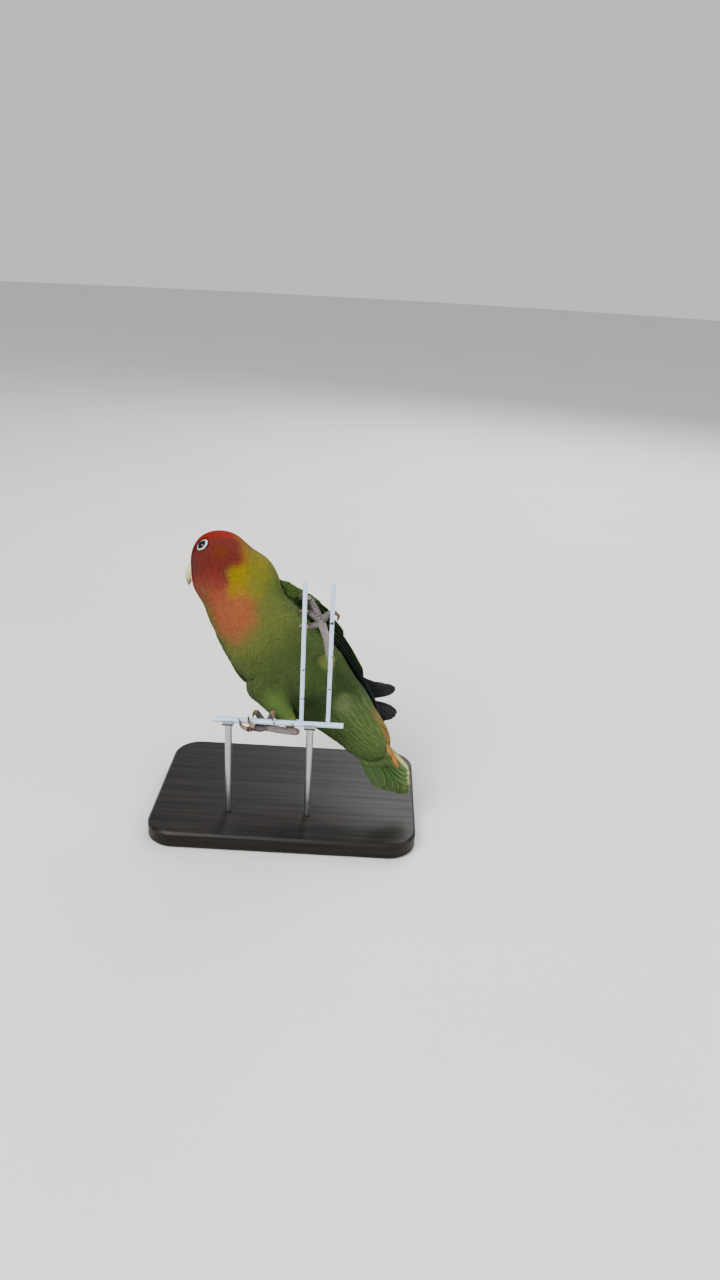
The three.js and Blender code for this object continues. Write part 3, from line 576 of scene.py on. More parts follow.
def plumage(name, roughness, sheen, barb_depth, dark):
    """Feathers: the marking, finely varied, with barbs slanting off each shaft and painted shade in the
    grooves between barbs.
    """
    material, tree, shader = new_material(name, {
        "Roughness": roughness, "Sheen Weight": sheen, "Sheen Roughness": 0.5, "Specular IOR Level": 0.2,
    })
    lie = add(tree, "ShaderNodeUVMap", uv_map="lie").outputs[0]
    along, across, _ = add(tree, "ShaderNodeSeparateXYZ", {"Vector": lie}).outputs
    slant = calculate(tree, "MULTIPLY_ADD", calculate(tree, "ABSOLUTE", across), BARB_SLANT, along)
    wave = calculate(tree, "SINE", calculate(tree, "MULTIPLY", slant, BARB_WAVE))
    height = calculate(tree, "MULTIPLY_ADD", wave, 0.5, 0.5)
    mottle = ramp(tree, noise(tree, 900, 4), (0.3, 0.95), (0.7, 1.04))
    show_marking(tree, shader, mottle, ramp(tree, height, (0, dark), (1, 1.04)))
    bump(tree, shader, height, barb_depth, 0.05)
    return material


def skin_material():
    """Skin and down under the feathers, in the coat's own markings, darker, with painted shade in the hollows
    between tufts.
    """
    material, tree, shader = new_material("down", {"Roughness": 0.9, "Specular IOR Level": 0.15})
    tufts = noise(tree, 1400, 4)
    show_marking(tree, shader, ramp(tree, tufts, (0.3, 0.7), (0.75, 1)))
    bump(tree, shader, tufts, 0.6, 0.3)
    return material


def horn_material(name, roughness):
    """Bill and claws: smooth horn in the marking's colour, with faint growth streaks."""
    material, tree, shader = new_material(name, {
        "Roughness": roughness, "Subsurface Weight": 0.12, "Subsurface Radius": (0.0012, 0.0008, 0.0004),
    })
    streaks = noise(tree, 1, 5, (900, 900, 250))
    show_marking(tree, shader, ramp(tree, streaks, (0.3, (0.82, 0.8, 0.76)), (0.7, 1.05)))
    bump(tree, shader, streaks, 0.15, 0.1)
    return material


def eye_material():
    """Eye: black pupil in a dark brown iris, under a wet clear coat."""
    material, tree, shader = new_material("eye_ball", {
        "Roughness": 0.12, "Specular IOR Level": 0.1, "Coat Weight": 0.6, "Coat Roughness": 0.02,
    })
    show_marking(tree, shader, ramp(tree, noise(tree, 3000), (0.35, 0.75), (0.7, 1.2)))
    return material


def bare_skin_material(name, roughness, grain, depth):
    """Bare skin of the feet, the eye rings and the cere: fine grains over the marking, with painted light on
    their tops and painted shade in the grooves between them.
    """
    material, tree, shader = new_material(name, {
        "Roughness": roughness, "Subsurface Weight": 0.08, "Subsurface Radius": (0.001, 0.0004, 0.0003),
    })
    cells = add(tree, "ShaderNodeTexVoronoi", {"Vector": place_on(tree), "Scale": grain}).outputs["Distance"]
    show_marking(tree, shader, ramp(tree, cells, (0, (1.08, 1.06, 1.05)), (0.8, (0.72, 0.7, 0.7))))
    bump(tree, shader, cells, depth, 0.12, invert=True)
    return material


def enamel_material():
    """White enamel on the wire, with a few chips down to rusty steel."""
    material, tree, shader = new_material("enamel")
    chipped = ramp(tree, noise(tree, 420, 6), (0.655, 0), (0.675, 1))
    paint_tone = ramp(tree, noise(tree, 90), (0.3, (0.46, 0.56, 0.72)), (0.7, (0.56, 0.66, 0.8)))
    rust = ramp(tree, noise(tree, 2500), (0.35, (0.03, 0.018, 0.012)), (0.7, (0.2, 0.075, 0.03)))
    mixed = add(tree, "ShaderNodeMix", {0: chipped, 6: paint_tone, 7: rust}, data_type="RGBA")
    tint(tree, shader, mixed.outputs[2])
    vary_roughness(tree, shader, chipped, 0.3, 0.85)
    bump(tree, shader, chipped, 0.5, 0.08, invert=True)
    return material


def steel_material():
    """Brushed steel: fine scratches round the rod."""
    material, tree, shader = new_material("brushed_steel", {"Metallic": 1.0})
    scratches = noise(tree, 1, 4, (120, 120, 9000))
    tint(tree, shader, ramp(tree, scratches, (0.3, (0.42, 0.42, 0.43)), (0.7, 0.62)))
    vary_roughness(tree, shader, scratches, 0.24, 0.42)
    bump(tree, shader, scratches, 0.1, 0.02)
    return material


def wood_material():
    """Black stained wood with an open grain, under a satin varnish."""
    material, tree, shader = new_material("black_wood", {
        "Specular IOR Level": 0.25, "Coat Weight": 0.08, "Coat Roughness": 0.3,
    })
    grain = noise(tree, 1, 6, (18, 420, 420))
    tint(tree, shader, ramp(tree, grain, (0.35, (0.008, 0.007, 0.006)), (0.62, (0.022, 0.018, 0.015))))
    vary_roughness(tree, shader, grain, 0.5, 0.36)
    bump(tree, shader, grain, 0.25, 0.15)
    return material


def floor_material():
    material, tree, shader = new_material("pale_floor", {"Roughness": 0.8})
    tint(tree, shader, ramp(tree, noise(tree, 6), (0.3, (0.70, 0.69, 0.67)), (0.7, (0.73, 0.72, 0.70))))
    return material


BODY_PLUMAGE = plumage("body_plumage", 0.8, 0.08, 0.35, 0.9)
FACE_PLUMAGE = plumage("face_plumage", 0.85, 0.1, 0.3, 0.9)
FLIGHT_PLUMAGE = plumage("flight_plumage", 0.5, 0.05, 0.35, 0.85)
DOWN = skin_material()
HORN = horn_material("bill_horn", 0.32)
CLAW_HORN = horn_material("claw_horn", 0.3)
EYE_BALL = eye_material()
EYE_SKIN = bare_skin_material("eye_ring_skin", 0.6, 3600, 0.25)
FOOT_SKIN = bare_skin_material("foot_scutes", 0.5, 1700, 0.6)
STAND_FINISH = {"perch_wire": enamel_material(), "stand_base": wood_material()}
STAND_FINISH["stand_rod_1"] = STAND_FINISH["stand_rod_2"] = steel_material()

# Markings: colours by place on the body, shared by the skin and the coat
CROWN = srgb(184, 60, 40)
LORES = srgb(112, 32, 24)
# The cheeks' rose, darkened with painted shade
CHEEK_IN_SHADE = srgb(146, 66, 54)
THROAT = srgb(170, 80, 70)
RIM_ORANGE = srgb(182, 110, 54)
EAR = srgb(146, 76, 36)
NECK_GOLD = srgb(178, 158, 44)
HIND_NECK = srgb(124, 136, 62)
BREAST = srgb(194, 114, 78)
OLIVE = srgb(126, 136, 72)
FLANK = srgb(92, 114, 58)
# The belly's green, partly darkened with painted shade, and lower on the belly a darker green that is painted
# shade where it turns away from the light
BELLY = srgb(94, 112, 64)
SHADED_LOW_BELLY = srgb(78, 100, 56)
VENT = srgb(156, 168, 120)
UNDERTAIL = srgb(98, 122, 68)
PEACH = srgb(204, 142, 84)
MANTLE = srgb(60, 88, 44)
RUMP = srgb(34, 100, 190)
FRINGE = srgb(146, 152, 84)
THIGH = srgb(98, 120, 66)
# Painted light and shade: the left thigh's colour is darkened as shaded, the right one's lightened as lit
THIGH_LIGHT_AND_SHADE = {"left": 0.65, "right": 1.15}
# The face's rear edge: height in the head, and how far behind the head's middle the red ends
FACE_EDGE = [(-17, -8.4), (-10, -8.7), (-5, -11.8), (-2, -13.4), (2.8, -13.6), (8.7, -10.6), (14, -7)]
# Round patches: middle and half size, in place along the spine and degrees round it
BODY_PATCHES = {
    "vent": ((0.12, 30), (0.05, 26)),
    "breast": ((0.81, -24), (0.138, 50)),
    "flush": ((0.87, -64), (0.1, 28)),
}
# The same in the head, in mm forward and up
HEAD_PATCHES = {"lores": ((8.6, 0.8), (2.4, 2.4)), "ear": ((-6, -1), (3, 3.2))}
STREAKS_ROUND = 26
# Painted shade in fine streaks on the lower face, for the gaps between clumps of feathers
STREAK_SHADE = np.array([0.72, 0.6, 0.6])
CROWN_SLANT = 0.25
MARKING_STRENGTH = 0.7
SLOW_WAVES = ((0.5, 0.3, 0.2), (-0.2, 0.45, 0.6), (0.3, -0.5, 0.4))
FINE_WAVES = ((2.2, 1.1, 0.7), (-0.9, 2.0, 2.4), (1.6, -2.1, 1.2))
# Zones of plumage, in the order that they cover one another: colour, share, and bounds. A bound is a
# measure, how far it wavers, where the zone starts and where it is full, and the share left outside.
BODY_ZONES = [
    # The belly and its lower part darken downwards with painted shade
    (BELLY, 1, ("along", 0.02, 0.68, 0.45)),
    (SHADED_LOW_BELLY, 1, ("along", 0.02, 0.42, 0.22)),
    (UNDERTAIL, 1, ("along", 0, 0.14, 0.04)),
    (VENT, 0.55, ("vent", 0.2, 1.25, 0.4)),
    (VENT, 0.3, ("streaks", 0, 0.1, 0.9), ("along", 0, 0.16, 0.05), ("round", 0, 110, 80)),
    (PEACH, 0.5, ("along", 0, 0.04, -0.05), ("degrees", 0, 62, 78), ("round", 0, 116, 98)),
    (FLANK, 1, ("round", 8, 50, 90), ("along", 0, 0.1, 0.25)),
    (MANTLE, 1, ("round", 6, 108, 138)),
    (RUMP, 1, ("round", 4, 106, 134), ("along", 0.02, 0.3, 0.2), ("along", 0, -0.07, -0.02)),
    (BREAST, 0.95, ("breast", 0.1, 1.3, 0.6)),
    (THROAT, 0.75, ("flush", 0.1, 1.3, 0.4)),
    (HIND_NECK, 1, ("along", 0.02, 0.7, 0.84), ("round", 0, 35, 70)),
    (NECK_GOLD, 0.92, ("edge", 1, 1.5, -1), ("forward", 1, -26, -17), ("up", 1, 12, -3),
     ("up", 1.5, -23, -16), ("aside", 0, 0, 4, 0.45)),
    (RIM_ORANGE, 0.75, ("edge", 1.2, -5, 0.5), ("up", 1.5, -12, -4)),
]
FACE_ZONES = [
    (CROWN, 1, ("slant", 0.6, 2, 8)),
    (THROAT, 1, ("up", 1, -8, -17)),
    (LORES, 0.7, ("lores", 0, 1.4, 0.5)),
    (EAR, 0.7, ("ear", 0.1, 1.3, 0.5), ("aside", 0, 5, 8)),
]
STREAK_BOUNDS = (0.4, ("fine", 0, 0.15, 0.7), ("up", 0, 3, -2))
FACE_BOUNDS = (1, ("edge", 1.1, -2.2, 2.6), ("up", 1.8, -25, -12))

# Points are compared with tables in chunks, to save memory
CHUNK = 10000
table_u = np.linspace(-0.3, 1.15, 291)
table_at, table_along, table_back, table_left = station(table_u)


def coordinates(p):
    """Place along the spine and degrees round it, for points (n, 3)."""
    best = np.zeros(len(p), int)
    for start in range(0, len(p), CHUNK):
        part = slice(start, start + CHUNK)
        best[part] = np.linalg.norm(p[part, None] - table_at[None], axis=-1).argmin(1)
    d = p - table_at[best]
    x, y = -np.sum(d * table_back[best], -1), np.sum(d * table_left[best], -1)
    return table_u[best], np.degrees(np.arctan2(y, x)), best


def waves(p, ways):
    """An irregular wave over points, of about unit height."""
    return sum(np.sin(p @ np.array(way) + i) for i, way in enumerate(ways))[:, None] / len(ways)


def from_patch(x, y, patch):
    """Distance from the middle of a round patch, 1 at its edge."""
    (middle_x, middle_y), (half_x, half_y) = patch
    return np.hypot((x - middle_x) / half_x, (y - middle_y) / half_y)


def measure(p):
    """The measures that bound the zones, at points (n, 3), and the wavering of their edges."""
    along, degrees = (x[:, None] for x in coordinates(p)[:2])
    forward, left, up = ((p - HEAD_AT) @ HEAD_AXES.T).T[:, :, None]
    slow, fine = waves(p, SLOW_WAVES), waves(p, FINE_WAVES)
    values = {
        "along": along,
        "degrees": degrees,
        "round": np.abs(degrees),
        "forward": forward,
        "aside": np.abs(left),
        "up": up,
        "slant": up + CROWN_SLANT * forward,
        "edge": forward - np.interp(up, *zip(*FACE_EDGE)),
        "streaks": np.sin(np.radians(degrees) * STREAKS_ROUND + 2 * slow),
        "fine": fine,
    }
    values |= {name: from_patch(along, degrees, patch) for name, patch in BODY_PATCHES.items()}
    values |= {name: from_patch(forward, up, patch) for name, patch in HEAD_PATCHES.items()}
    return values, slow + 0.5 * fine


def cover(colour, zones, values, waver):
    """Mixes zones into a colour, one after the other."""
    for tone, share, *bounds in zones:
        inside = 1
        for name, waves_by, start, full, *outside in bounds:
            inside = inside * mix(*(outside or [0]), 1, smooth(values[name] + waves_by * waver, start, full))
        colour = mix(colour, tone, inside * share)
    return colour


def markings(p):
    """Colour of the plumage at points (n, 3) on the body."""
    values, waver = measure(p)
    face = cover(CHEEK_IN_SHADE, FACE_ZONES, values, waver)
    # Painted shade in fine streaks on the lower face
    face = cover(face, [(face * STREAK_SHADE, *STREAK_BOUNDS)], values, waver)
    body = cover(OLIVE, BODY_ZONES, values, waver)
    return np.clip(cover(body, [(face, *FACE_BOUNDS)], values, waver), 0, 1) * MARKING_STRENGTH


ANKLE_REACH = 8
SHIN_END = 0.9


def shin_place(p, leg):
    """Place of points along the line from a leg's knee, 0, to its ankle, 1."""
    knee, ankle = (np.array(x, float) for x in leg["thigh"][1:])
    return (p - knee) @ (ankle - knee) / np.dot(ankle - knee, ankle - knee)


def along_shin(p, leg):
    return np.clip(shin_place(p, leg), 0, 1)


def past_ankle(p, start):
    """Whether points lie past a place near the end of a feathered shin."""
    past = np.zeros(len(p), bool)
    for leg in LEGS.values():
        near = np.linalg.norm(p - np.array(leg["thigh"][2], float), axis=1) < ANKLE_REACH
        past |= (shin_place(p, leg) > start) & near
    return past


def shin_share(p, leg):
    """How far points belong to a feathered shin."""
    return smooth(body_field(p) - thigh_field(p, leg), 0, 3) * smooth(along_shin(p, leg), 0.05, 0.5)


def coat_colour(p):
    colour = markings(p)
    for side, leg in LEGS.items():
        fringe = smooth(along_shin(p, leg), 0.8, 1)[:, None] * 0.7
        # Each thigh carries its painted light or shade
        tone = mix(THIGH * THIGH_LIGHT_AND_SHADE[side], FRINGE, fringe)
        colour = mix(colour, tone, shin_share(p, leg)[:, None] * 0.85)
    return colour


# Skin

CORE_LEVEL = -0.9
LIMB_DEPTH = 1.1
VENT_END = -0.02
POLE_TILTS = (6, 88)
FLESH_VOXEL = 0.8
FLESH_ROUNDS = 4
SNAP_REACH = 1.2
WING_FLESH = 0.4
DEPTH_SHARE = 0.14
DEPTHS = (0.19, 1.1)
EYE_HOLLOW = 0.9
EYE_HOLLOW_EDGE = 0.7
EYE_CLEAR = 3.2
EYE_FREE = 2.66


def star_mesh(level):
    """The body as one closed surface round the spine, at a level under the coat's face."""
    sides, rows, cap = 72, 60, 14
    low, high = POLE_TILTS
    u = np.concatenate([np.full(cap, VENT_END), np.linspace(VENT_END, 1, rows), np.full(cap, 1.0)])
    tilt = np.concatenate([-np.linspace(high, low, cap), np.zeros(rows), np.linspace(low, high, cap)])
    at, along, back, left = station(u)
    angle = np.linspace(0, 360, sides, endpoint=False)
    flat = around(back[:, None], left[:, None], np.broadcast_to(angle, (len(u), sides)))
    lean = np.radians(tilt)[:, None, None]
    way = flat * np.cos(lean) + along[:, None] * np.sin(lean)
    origin = np.broadcast_to(at[:, None], way.shape)
    rings = origin + way * reach(origin, way, lambda p: body_field(p) - level)[..., None]
    return loft_mesh("star", rings, rings[0].mean(0), rings[-1].mean(0))


def coat_depth(p):
    """Depth of the skin under the coat's outer face."""
    depth = np.clip(DEPTH_SHARE * feather_length(p), *DEPTHS)
    for middle, _ in EYES.values():
        gap = np.linalg.norm(p - middle, axis=1)
        depth = depth + EYE_HOLLOW * smooth(gap, EYE_CLEAR + EYE_HOLLOW_EDGE, EYE_CLEAR)
    return depth


def sheet(lines):
    """A wing's sheet: point(s, q, sink) and its slopes, for arrays s along the lines and q across them."""
    curves = [np.array(line, float) for line in lines]
    e = 0.005

    def run_on(curve, t):
        inside = np.clip(t, 0, 1)
        way = curve(np.clip(inside + e, 0, 1)) - curve(np.clip(inside - e, 0, 1))
        return curve(inside) + way * ((t - inside) / e)[..., None]

    def point(s, q, sink=0.0):
        s, q = np.broadcast_arrays(np.asarray(s, float), np.asarray(q, float))
        ends = np.stack([run_on(lambda t, c=c: catmull(c, t, 0), s) for c in curves], -2)
        body = run_on(lambda t: catmull(ends, t, 0), q)
        at, _, back, left = station(body[..., 0])
        return at + around(back, left, body[..., 1]) * (body[..., 2] - sink)[..., None]

    def slopes(s, q):
        d = 0.01
        along = (point(s + d, q) - point(s - d, q)) / (2 * d)
        across = (point(s, q + d) - point(s, q - d)) / (2 * d)
        normal = unit(np.cross(across, along))
        out = dot(normal, point(s, q) - point(s, q, 1.0))
        return along, across, normal * np.where(out < 0, -1, 1)

    return point, slopes


def tail_axes():
    """The tail's way from root to tip, its upper side and its right."""
    way = unit(TAIL_TIP - TAIL_ROOT)
    back = station(CUT_TAIL)[2]
    back = unit(back - way * np.dot(back, way))
    return way, back, np.cross(back, way)


def tail_sheet():
    along = TAIL_TIP - TAIL_ROOT
    _, back, right = tail_axes()

    def point(s, q, sink=0.0):
        s, q = np.broadcast_arrays(np.asarray(s, float), np.asarray(q, float))
        x = ((2 * q - 1) * TAIL_HALF_WIDTH)[..., None]
        return TAIL_ROOT + along * s[..., None] + right * x - back * (TAIL_BOW * x * x + sink)

    def slopes(s, q):
        d = 0.01
        across = (point(s, q + d) - point(s, q - d)) / (2 * d)
        return np.broadcast_to(along, across.shape), across, -unit(np.cross(across, along))

    return point, slopes


CORE_DEPTH = 9.5
CORE_THIN = 4.2
CORE_END = 0.6
CORE_SINKS = (2.6, 3.0)
CORE_END_SINK = 3.4
# Place along the tail, half width and half thickness of its flesh
TAIL_CORE = ((-0.2, 7, 4.5), (0.04, 8, 4), (0.2, 6.6, 2.2), (0.38, 5, 0.9))
TAIL_CORE_ENDS = (-0.22, 0.4)
TAIL_CORE_SINK = 0.9


def wing_core_mesh(name, point):
    """The flesh of a wing under the front of its sheet, thick at the shoulder."""
    s, q = np.meshgrid(np.linspace(0, CORE_END, 24), np.linspace(0.03, 0.97, 14), indexing="ij")
    deep = mix(CORE_DEPTH, CORE_THIN, smooth(s, 0.38, 0.62))
    top = point(s, q, mix(*CORE_SINKS, s / CORE_END))
    bottom = point(s, q, np.maximum(CORE_SINKS[0] + 1.2, deep * np.minimum(1, 0.35 + 2.2 * q)))[:, ::-1]
    rings = np.concatenate([top, bottom], 1)
    start = point(-0.01, 0.5, CORE_DEPTH / 2)
    return loft_mesh(name, rings, start, point(CORE_END + 0.01, 0.5, CORE_END_SINK))


SHEETS = {side: sheet(lines) for side, lines in WINGS.items()}
TAIL = tail_sheet()


def tail_core_mesh():
    point, _ = TAIL
    _, back, right = tail_axes()
    angle = np.linspace(0, 2 * np.pi, 32, endpoint=False)
    rings = []
    for s, wide, thick in TAIL_CORE:
        high = (np.cos(angle) * thick + TAIL_CORE_SINK)[:, None]
        rings.append(point(s, 0.5) + (-back * high - right * (np.sin(angle) * wide)[:, None]))
    start, end = (point(s, 0.5) for s in TAIL_CORE_ENDS)
    return loft_mesh("tail_core", np.array(rings), start, end)


def make_skin():
    """One skin in place of the head, neck, torso and thighs, with the wings' and tail's flesh."""
    limbs = []
    for leg in LEGS.values():
        hip, knee, ankle = leg["thigh"]
        wide, middle, narrow = (r - LIMB_DEPTH for r in leg["thigh_radii"])
        limbs.append(tube_mesh("limb", [hip, knee], (wide, middle), 32, 12))
        limbs.append(tube_mesh("limb", [knee, ankle], (middle, narrow), 32, 14))
    cores = [wing_core_mesh("core", SHEETS[side][0]) for side in WINGS]
    mesh = fuse("skin", [star_mesh(CORE_LEVEL), *limbs, *cores, tail_core_mesh()], FLESH_VOXEL, FLESH_ROUNDS)
    p = places(mesh)
    body = np.abs(coat_field(p) - CORE_LEVEL) < SNAP_REACH
    p[body] = snap(p[body], -coat_depth(p[body]), 2)
    move(mesh, p)
    # Painted shade: the wings' flesh is near black, as the shade under the wings' feathers, and the rest of
    # the skin is a little darker than the coat over it, as the shade under the coat
    wing = (coat_field(p) > WING_FLESH)[:, None]
    paint(mesh, np.where(wing, MANTLE * 0.25, coat_colour(p) * 0.95))
    return piece("skin", mesh, DOWN, "body_feathers", "head", "neck", "torso", "thigh_left", "thigh_right")


# Feathers

LOCK_COLUMNS = np.array([-1.0, 0.0, 1.0])
TRIANGLES_PER_PIECE = 190000


def close_vanes(grid, normals, thick):
    """Closed feathers from grids (n, rows, columns, 3): two faces that meet at the edges."""
    n, rows, columns = grid.shape[:3]
    top = grid + normals * (thick / 2)
    edge = np.ones((rows, columns), bool)
    edge[1:-1, 1:-1] = False
    top[:, edge] = grid[:, edge]
    bottom = (grid - normals * (thick / 2))[:, ~edge]
    points = np.concatenate([top.reshape(n, -1, 3), bottom], 1)
    up = np.arange(rows * columns).reshape(rows, columns)
    down = up.copy()
    down[~edge] = rows * columns + np.arange((~edge).sum())

    def quads(ids, flip):
        corners = [ids[:-1, :-1], ids[:-1, 1:], ids[1:, 1:], ids[1:, :-1]]
        if flip:
            corners.reverse()
        return np.stack([c.ravel() for c in corners], -1)

    faces = np.concatenate([quads(up, False), quads(down, True)])
    count = points.shape[1]
    faces = (faces[None] + (np.arange(n) * count)[:, None, None]).reshape(-1, 4)
    source = np.concatenate([np.arange(rows * columns), up[~edge]])
    return points, faces, source


def vane_mesh(name, grid, normals, thick, colours, lie, bake, under=None):
    """A mesh of closed feathers with their colours, the lie of their barbs and their place for baking."""
    points, faces, source = close_vanes(grid, normals, thick)
    mesh = new_mesh(name, points.reshape(-1, 3), [faces])
    n, above = len(grid), grid.shape[1] * grid.shape[2]
    if grid.shape[2] == len(LOCK_COLUMNS):
        mesh.shade_flat()
    shown = colours.reshape(n, -1, 3)[:, source]
    if under is not None:
        shown[:, above:] = under.reshape(n, -1, 3)[:, source[above:]]
    paint(mesh, shown.reshape(-1, 3))
    map_uv(mesh, "OFBake", bake.reshape(n, -1, 2)[:, source].reshape(-1, 2))
    map_uv(mesh, "lie", lie.reshape(n, -1, 2)[:, source].reshape(-1, 2))
    return mesh


def in_pieces(name, material, slot, grid, normals, thick, colours, lie, bake):
    """Shows feathers as pieces that each stay under a number of triangles."""
    rows, columns = grid.shape[1:3]
    each = 4 * (rows - 1) * (columns - 1)
    count = math.ceil(len(grid) * each / TRIANGLES_PER_PIECE)
    for i, ids in enumerate(np.array_split(np.arange(len(grid)), count)):
        label = f"{name}_{i + 1}"
        mesh = vane_mesh(label, grid[ids], normals[ids], thick, colours[ids], lie[ids], bake[ids])
        piece(label, mesh, material, slot)


BAKE_PATCH = 0.003
BAKE_MARGIN = 0.01
BAKE_SHARE = 0.97


def bake_place(degrees, u):
    """Where a root lies on an unwrap of the skin round the spine."""
    low, high = table_u[0], table_u[-1]
    unwrapped = np.stack([(degrees % 360) / 360, np.clip((u - low) / (high - low), 0, 1)], -1)
    return BAKE_MARGIN + BAKE_SHARE * unwrapped


BILL_ROOT = (9.5, 0.0, -2.0)
# Length of the feathers in mm, by place along the spine and, in the head, by mm forward
BODY_LENGTHS = ([-0.1, 0.1, 0.3, 0.6, 0.8, 0.92], [12, 9.5, 7, 5.6, 4.6, 3.4])
HEAD_LENGTHS = ([-12, -4, 4, 9], [3.4, 2.6, 1.8, 1.3])
SHIN_LENGTHS = (4.8, 4.0)


def flow(p, normal):
    """The lie of the coat: from the bill over the head, down the body, and down the thighs."""
    u, _, best = coordinates(p)
    down = -table_along[best]
    bill = in_head(*BILL_ROOT)
    head = smooth(u, 0.84, 0.96)[:, None]
    away = unit(p - bill)
    way = mix(down, away, head)
    for leg in LEGS.values():
        knee, ankle = (np.array(x, float) for x in leg["thigh"][1:])
        way = mix(way, unit(ankle - knee), shin_share(p, leg)[:, None] * 0.9)
    way = way - normal * dot(way, normal)
    return unit(way + 1e-9)


def feather_length(p):
    """Length of the coat's feathers by place, in mm."""
    u = coordinates(p)[0]
    forward = ((p - HEAD_AT) @ HEAD_AXES.T)[:, 0]
    length = mix(np.interp(u, *BODY_LENGTHS), np.interp(forward, *HEAD_LENGTHS), smooth(u, 0.86, 0.95))
    for leg in LEGS.values():
        length = mix(length, mix(*SHIN_LENGTHS, along_shin(p, leg)), shin_share(p, leg))
    return length


SCATTER_CELL = 1.3
COAT_TRIES = 160000


def scatter(mesh, spacing, tries):
    """Points spread over a mesh, each at least its own spacing from the others."""
    mesh.calc_loop_triangles()
    tris = np.empty(len(mesh.loop_triangles) * 3, np.int32)
    mesh.loop_triangles.foreach_get("vertices", tris)
    a, b, c = (places(mesh)[tris.reshape(-1, 3)[:, k]] for k in range(3))
    area = np.linalg.norm(np.cross(b - a, c - a), axis=1)
    chosen = rng.choice(len(area), tries, p=area / area.sum())
    r1, r2 = np.sqrt(rng.random(tries))[:, None], rng.random(tries)[:, None]
    p = (1 - r1) * a[chosen] + r1 * (1 - r2) * b[chosen] + r1 * r2 * c[chosen]
    gap = spacing(p)
    keep = gap > 0
    p, gap = p[keep], gap[keep]
    cells = np.floor(p / SCATTER_CELL).astype(int)
    reach_cells = np.ceil(gap / SCATTER_CELL).astype(int)
    grid, kept = {}, []
    for i in range(len(p)):
        x, y, z = cells[i]
        k = reach_cells[i]
        cube = itertools.product(*(range(c - k, c + k + 1) for c in (x, y, z)))
        near = [j for cell in cube for j in grid.get(cell, ())]
        if near and np.min(np.sum((p[near] - p[i]) ** 2, 1)) < gap[i] ** 2:
            continue
        grid.setdefault((x, y, z), []).append(i)
        kept.append(i)
    return p[kept]


def eye_frame(side):
    """Middle of an eye ball, and the direction that it looks in."""
    f, l, u = EYE_DIRECTION
    out = unit(in_head(f, l * side, u) - HEAD_AT)
    surface = HEAD_AT + out * reach(HEAD_AT[None], out[None], body_field)
    return surface - out * EYE_DEPTH, out


EYES = {side: eye_frame(sign) for side, sign in (("left", 1), ("right", -1))}
# Where the sheet of a wing hides the body: its stretch, how far under it and how near
HIDDEN_ALONG = (0.02, 0.62)
HIDDEN_ACROSS = (0.06, 0.94)
HIDDEN_SINK = 2.5
HIDDEN_REACH = 3.0


def under_wing(p):
    """Whether points lie under the front of a wing, where its own feathers cover the body."""
    covered = np.zeros(len(p), bool)
    s, q = np.meshgrid(np.linspace(*HIDDEN_ALONG, 40), np.linspace(*HIDDEN_ACROSS, 30), indexing="ij")
    for point, _ in SHEETS.values():
        marks = point(s.ravel(), q.ravel(), HIDDEN_SINK)
        for start in range(0, len(p), CHUNK):
            part = slice(start, start + CHUNK)
            gaps = np.linalg.norm(p[part, None] - marks[None], axis=-1)
            covered[part] |= gaps.min(1) < HIDDEN_REACH
    return covered


# Oval holes in the coat for the halves of the bill: from how far forward, height, half width and half height
BILL_HOLES = ((6, -2.2, 3.6, 4.0), (5.5, -8.3, 3.0, 2.2))
SPACINGS = (0.23, 0.27)
OFF_SKIN = 0.8


def coat_spacing(p):
    """Spacing of the coat's feathers; nothing grows on the eyes, the bill or under the wings' front."""
    head = smooth(coordinates(p)[0], 0.84, 0.95)
    gap = feather_length(p) * mix(*SPACINGS, head)
    for middle, _ in EYES.values():
        gap[np.linalg.norm(p - middle, axis=1) < EYE_CLEAR] = 0
    forward, left, up = ((p - HEAD_AT) @ HEAD_AXES.T).T
    for start, middle, wide, high in BILL_HOLES:
        gap[(forward > start) & (np.hypot(left / wide, (up - middle) / high) < 1)] = 0
    gap[np.abs(coat_field(p) + coat_depth(p)) > OFF_SKIN] = 0
    gap[past_ankle(p, SHIN_END + 0.04)] = 0
    return gap


# The coat's feathers are fans of fine locks of barbs: places down a lock, its width there, and a fan's
# half width for its length
COAT_SHAPES = {
    "face": {"locks": 9, "rows": (0, 0.55, 1), "width": (0.8, 1, 0.25)},
    "body": {"locks": 13, "rows": (0, 0.35, 0.7, 1), "width": (0.8, 1, 0.9, 0.25)},
}
FAN_WIDTH = 0.36
FAN_ROOT = 0.35
FAN_CURVE = 0.24
LOCK_THICKNESS = 0.035
LOCK_RIDGE = 0.03
LOCK_OVERLAP = 1.9
HEAD_START = 0.87
ROOT_SINK = 0.95
TIP_RISE = 0.05
SIDE_DROP = 0.04
LENGTH_SPREAD = (0.9, 1.12)
STRAYS = {"way": 0.07, "length": 0.05, "lift": 0.01, "lean": 0.05}
TONES = {"fan": 0.04, "lock": 0.05, "hue": 0.02}
# Painted shade from a feather's root, which the feathers over it shade, to its tip
ROOT_SHADE = ([0, 0.4, 0.9], [0.74, 0.78, 0.8])


def grow(p, way, long, t, lift):
    """Middle lines of locks that follow the coat's face, with the directions up from it and on."""
    up = unit(slope(p))
    line = []
    for i in range(len(t)):
        if i:
            ahead = p + way * ((t[i] - t[i - 1]) * long)[:, None]
            free = past_ankle(ahead, SHIN_END)[:, None]
            p = np.where(free, ahead, snap(ahead, lift[:, i], 1))
            up = np.where(free, up, unit(slope(p)))
        way = unit(way - up * dot(way, up))
        line.append((p, up, way))
    return (np.stack(x, 1) for x in zip(*line))


